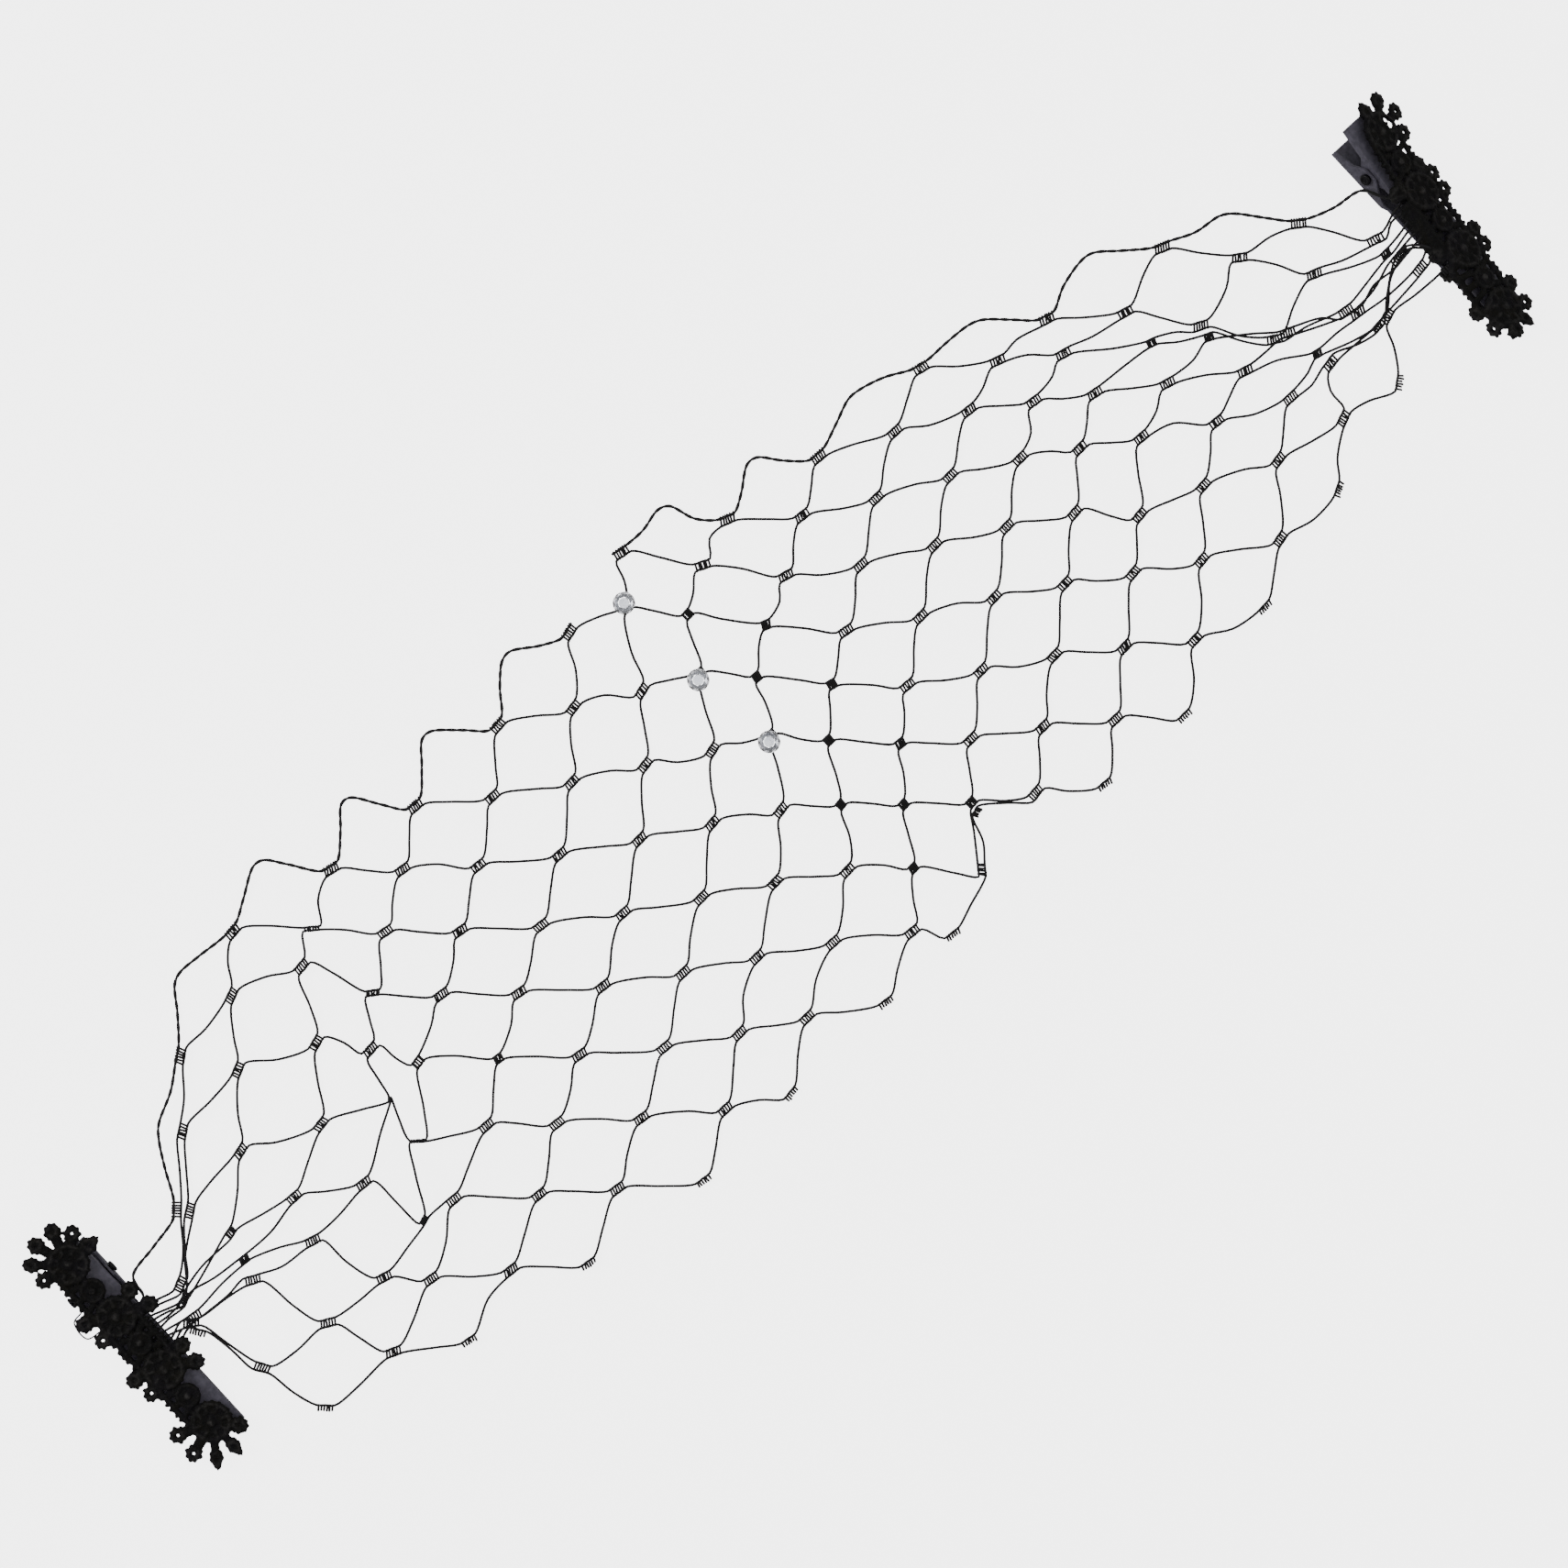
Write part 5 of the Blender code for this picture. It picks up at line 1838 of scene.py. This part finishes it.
@dataclass
class ClipHardware:
    """The enamelled levers and rivet of one clip, with rounded edges that the enamel paints
    lighter, as wear with a painted highlight.
    """

    clip: ClipLay
    shift: Vector
    edge_radius: float = 0.14 * MM
    head_radius: float = 1.35 * MM
    head_length: float = 0.7 * MM
    bore: float = 0.5 * MM
    shank_inset: float = 0.3 * MM
    bore_depth: float = 1.2
    wear_and_highlight_width: float = 2.2
    sharp_from: float = radians(25)
    smooth_below: float = radians(40)

    def lever(self, node: str, body: str, finish: bpy.types.Material) -> None:
        """Round the edges of a lever's own shape and mark them for the enamel's rubbed wear and
        painted edge highlight.

        Args:
            node: the lever's node.
            body: the body that it rides on.
            finish: its material.
        """
        piece = own_copy(node, "_enamelled")
        old_faces = {round_place(face.center) for face in piece.data.polygons}
        modify(
            piece, "BEVEL", width=self.edge_radius, segments=2, limit_method="ANGLE",
            angle_limit=self.sharp_from, material=-1,
        )
        mesh = piece.data
        wear_and_highlight = [0.0] * len(mesh.vertices)
        for face in mesh.polygons:
            if face.area < (self.wear_and_highlight_width * self.edge_radius) * longest_side(mesh, face):
                if round_place(face.center) not in old_faces:
                    for index in face.vertices:
                        wear_and_highlight[index] = 1.0
        # The enamel paints these edges lighter: rubbed wear with a painted edge highlight
        set_marks(mesh, "edge", "POINT", wear_and_highlight)
        bpy.ops.object.shade_smooth_by_angle(angle=self.smooth_below)
        dress(piece, finish, body, node)

    def rivet(self, finish: bpy.types.Material) -> None:
        """Build the hollow rivet: a tube with a rolled ring at each end.

        Args:
            finish: the material.
        """
        clip = self.clip
        seat = clip.ear_outside + clip.fit_gap
        depth = 2 * (seat + self.head_length) - self.shank_inset
        bpy.ops.mesh.primitive_cylinder_add(vertices=32, radius=clip.pin_radius, depth=depth)
        tube = bpy.context.object
        bpy.ops.object.mode_set(mode="EDIT")
        bpy.ops.mesh.select_all(action="DESELECT")
        bpy.ops.object.mode_set(mode="OBJECT")
        for face in tube.data.polygons:
            face.select = abs(face.normal.z) > 0.9
        bpy.ops.object.mode_set(mode="EDIT")
        bpy.ops.mesh.inset(thickness=clip.pin_radius - self.bore)
        bpy.ops.mesh.extrude_region_shrink_fatten(
            TRANSFORM_OT_shrink_fatten={"value": -self.bore_depth * self.head_length}
        )
        bpy.ops.object.mode_set(mode="OBJECT")
        parts = [settle(tube)]
        for side in (-1, 1):
            minor = (self.head_radius - self.bore) / 2
            bpy.ops.mesh.primitive_torus_add(
                major_segments=36, minor_segments=12,
                major_radius=self.bore + minor, minor_radius=minor,
            )
            flat = Matrix.Diagonal((1.0, 1.0, self.head_length / (2 * minor), 1.0))
            place = Matrix.Translation((0.0, 0.0, side * (seat + self.head_length / 2)))
            parts.append(settle(bpy.context.object, place @ flat))
        pin = join_pieces(parts, "hinge_rivet_" + clip.name)
        stand = Matrix.Translation((0.0, clip.pin_along, clip.pin_height))
        settle(pin, stand @ Matrix.Rotation(pi / 2, 4, "Y"))
        pin.data.transform(Matrix.Translation(self.shift) @ clip.place())
        bpy.ops.object.shade_smooth_by_angle(angle=self.smooth_below)
        dress(pin, finish, node="hinge_pin_" + clip.name)

    def build(self, finish: bpy.types.Material) -> None:
        """Build and dress the clip's three pieces.

        Args:
            finish: the material.
        """
        name = self.clip.name
        self.lever("upper_lever_" + name, "veil", finish)
        self.lever("lower_lever_" + name, "jaw_" + name, finish)
        self.rivet(finish)


def round_place(place: Vector) -> tuple[float, float, float]:
    """A place as a key, to a hundredth of a millimetre."""
    return tuple(round(value / (0.01 * MM)) for value in place)


def longest_side(mesh: bpy.types.Mesh, face: bpy.types.MeshPolygon) -> float:
    """Length of a face's longest side."""
    corners = [mesh.vertices[index].co for index in face.vertices]
    return max((b - a).length for a, b in zip(corners, corners[1:] + corners[:1]))


@dataclass
class Stones:
    """The three cut stones with the silvered backing under each."""

    backing_radius: float = 1.15 * MM
    backing_depth: float = 0.12 * MM
    backing_drop: float = 0.08 * MM
    chance_shade: float = 0.75
    side_shade: float = 0.6
    flat_from: float = 0.97
    dark_side: Vector = field(default_factory=lambda: Vector((-0.9, -0.4, 0.0)))
    seed: int = 3

    def __post_init__(self) -> None:
        """Seed the facets' shades."""
        self.chance = random.Random(self.seed)

    def shade_facets(self, mesh: bpy.types.Mesh) -> None:
        """Mark how much painted reflection darkens each facet: more on the side that mirrors the
        dark room.

        Args:
            mesh: the stone's mesh.
        """
        shades = []
        for face in mesh.polygons:
            shade = 0.0
            if abs(face.normal.z) <= self.flat_from:
                lean = max(0.0, face.normal.dot(self.dark_side.normalized()))
                shade = self.chance_shade * self.chance.random() ** 2 + self.side_shade * lean
            shades.append(min(1.0, shade))
        set_marks(mesh, "facet", "FACE", shades)

    def build(self, glass: bpy.types.Material, foil: bpy.types.Material) -> None:
        """Build each stone from its own shape, facet by facet, and add their backings.

        Args:
            glass: the stones' material.
            foil: the backings' material.
        """
        parts = []
        for number in (1, 2, 3):
            node = f"rhinestone_{number}"
            stone = own_copy(node, "_cut")
            bpy.ops.object.shade_flat()
            self.shade_facets(stone.data)
            dress(stone, glass, node=node)
            low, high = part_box(node)
            bpy.ops.mesh.primitive_cylinder_add(
                vertices=32, radius=self.backing_radius, depth=self.backing_depth
            )
            disc = bpy.context.object
            modify(disc, "BEVEL", width=0.3 * self.backing_depth, segments=2)
            middle = (low + high) / 2
            place = Vector((middle.x, middle.y, low.z - self.backing_drop))
            parts.append(settle(disc, Matrix.Translation(place)))
        dress(join_pieces(parts, "stone_backings"), foil)


# Stage


class Light(NamedTuple):
    """A soft square light: its name, place from the veil's middle, size and power."""

    name: str
    place: tuple[float, float, float]
    size: float
    power: float


LIGHTS = (
    Light("key_light", (-0.7, 0.75, 0.9), 0.7, 6.0),
    Light("fill_light", (0.9, -0.5, 1.1), 1.0, 2.5),
    Light("top_light", (0.0, 0.0, 1.75), 0.55, 1.6),
)


@dataclass
class Studio:
    """White table, soft light and a camera straight above."""

    centre: Vector
    view_width: float = 342.0 * MM
    camera_height: float = 1.5
    sensor: float = 36.0
    tilt: float = radians(-40.95)
    sky: float = 0.30

    def build(self, finish: bpy.types.Material) -> None:
        """Build the table, the world, the lights and the camera.

        Args:
            finish: the table's material.
        """
        deselect()
        bpy.ops.mesh.primitive_plane_add(size=8.0)
        table = bpy.context.object
        table.name = "table"
        table.data.materials.append(finish)
        world = bpy.data.worlds.new("studio")
        world.use_nodes = True
        back = world.node_tree.nodes["Background"]
        Wiring(world.node_tree).feed(back, {"Color": WHITE, "Strength": self.sky})
        bpy.context.scene.world = world
        for light in LIGHTS:
            lamp = bpy.data.lights.new(light.name, "AREA")
            lamp.energy = light.power
            lamp.size = light.size
            placed = new_object(light.name, lamp)
            placed.location = self.centre + Vector(light.place)
            aim = self.centre - placed.location
            placed.rotation_euler = aim.to_track_quat("-Z", "Y").to_euler()
        camera_data = bpy.data.cameras.new("camera")
        camera_data.sensor_width = self.sensor
        camera_data.lens = self.sensor * self.camera_height / self.view_width
        camera = new_object("camera", camera_data)
        camera.location = self.centre + Vector((0.0, 0.0, self.camera_height))
        camera.rotation_euler = (0.0, 0.0, self.tilt)
        bpy.context.scene.camera = camera


def main() -> None:
    """Build every piece in order."""
    logging.basicConfig(level=logging.INFO, format="%(name)s: %(message)s")
    plan = NetPlan()
    Studio(plan.shift).build(TableFinish().make())
    yarn = YarnFinish().make()
    net = YarnNet(plan)
    net.build(yarn)
    net.loose_ends(yarn)
    enamel, lace = EnamelFinish().make(), LaceFinish().make()
    for clip, petals, borders, openings in (
        (CLIP_A, PETALS_A, BORDERS_A, OPENINGS_A),
        (CLIP_B, PETALS_B, BORDERS_B, OPENINGS_B),
    ):
        ClipHardware(clip, plan.shift).build(enamel)
        LaceTrim(clip, petals, borders, plan.shift, openings).build(lace)
    Stones().build(StoneFinish().make(), FoilFinish().make())


if __name__ == "__main__":
    main()
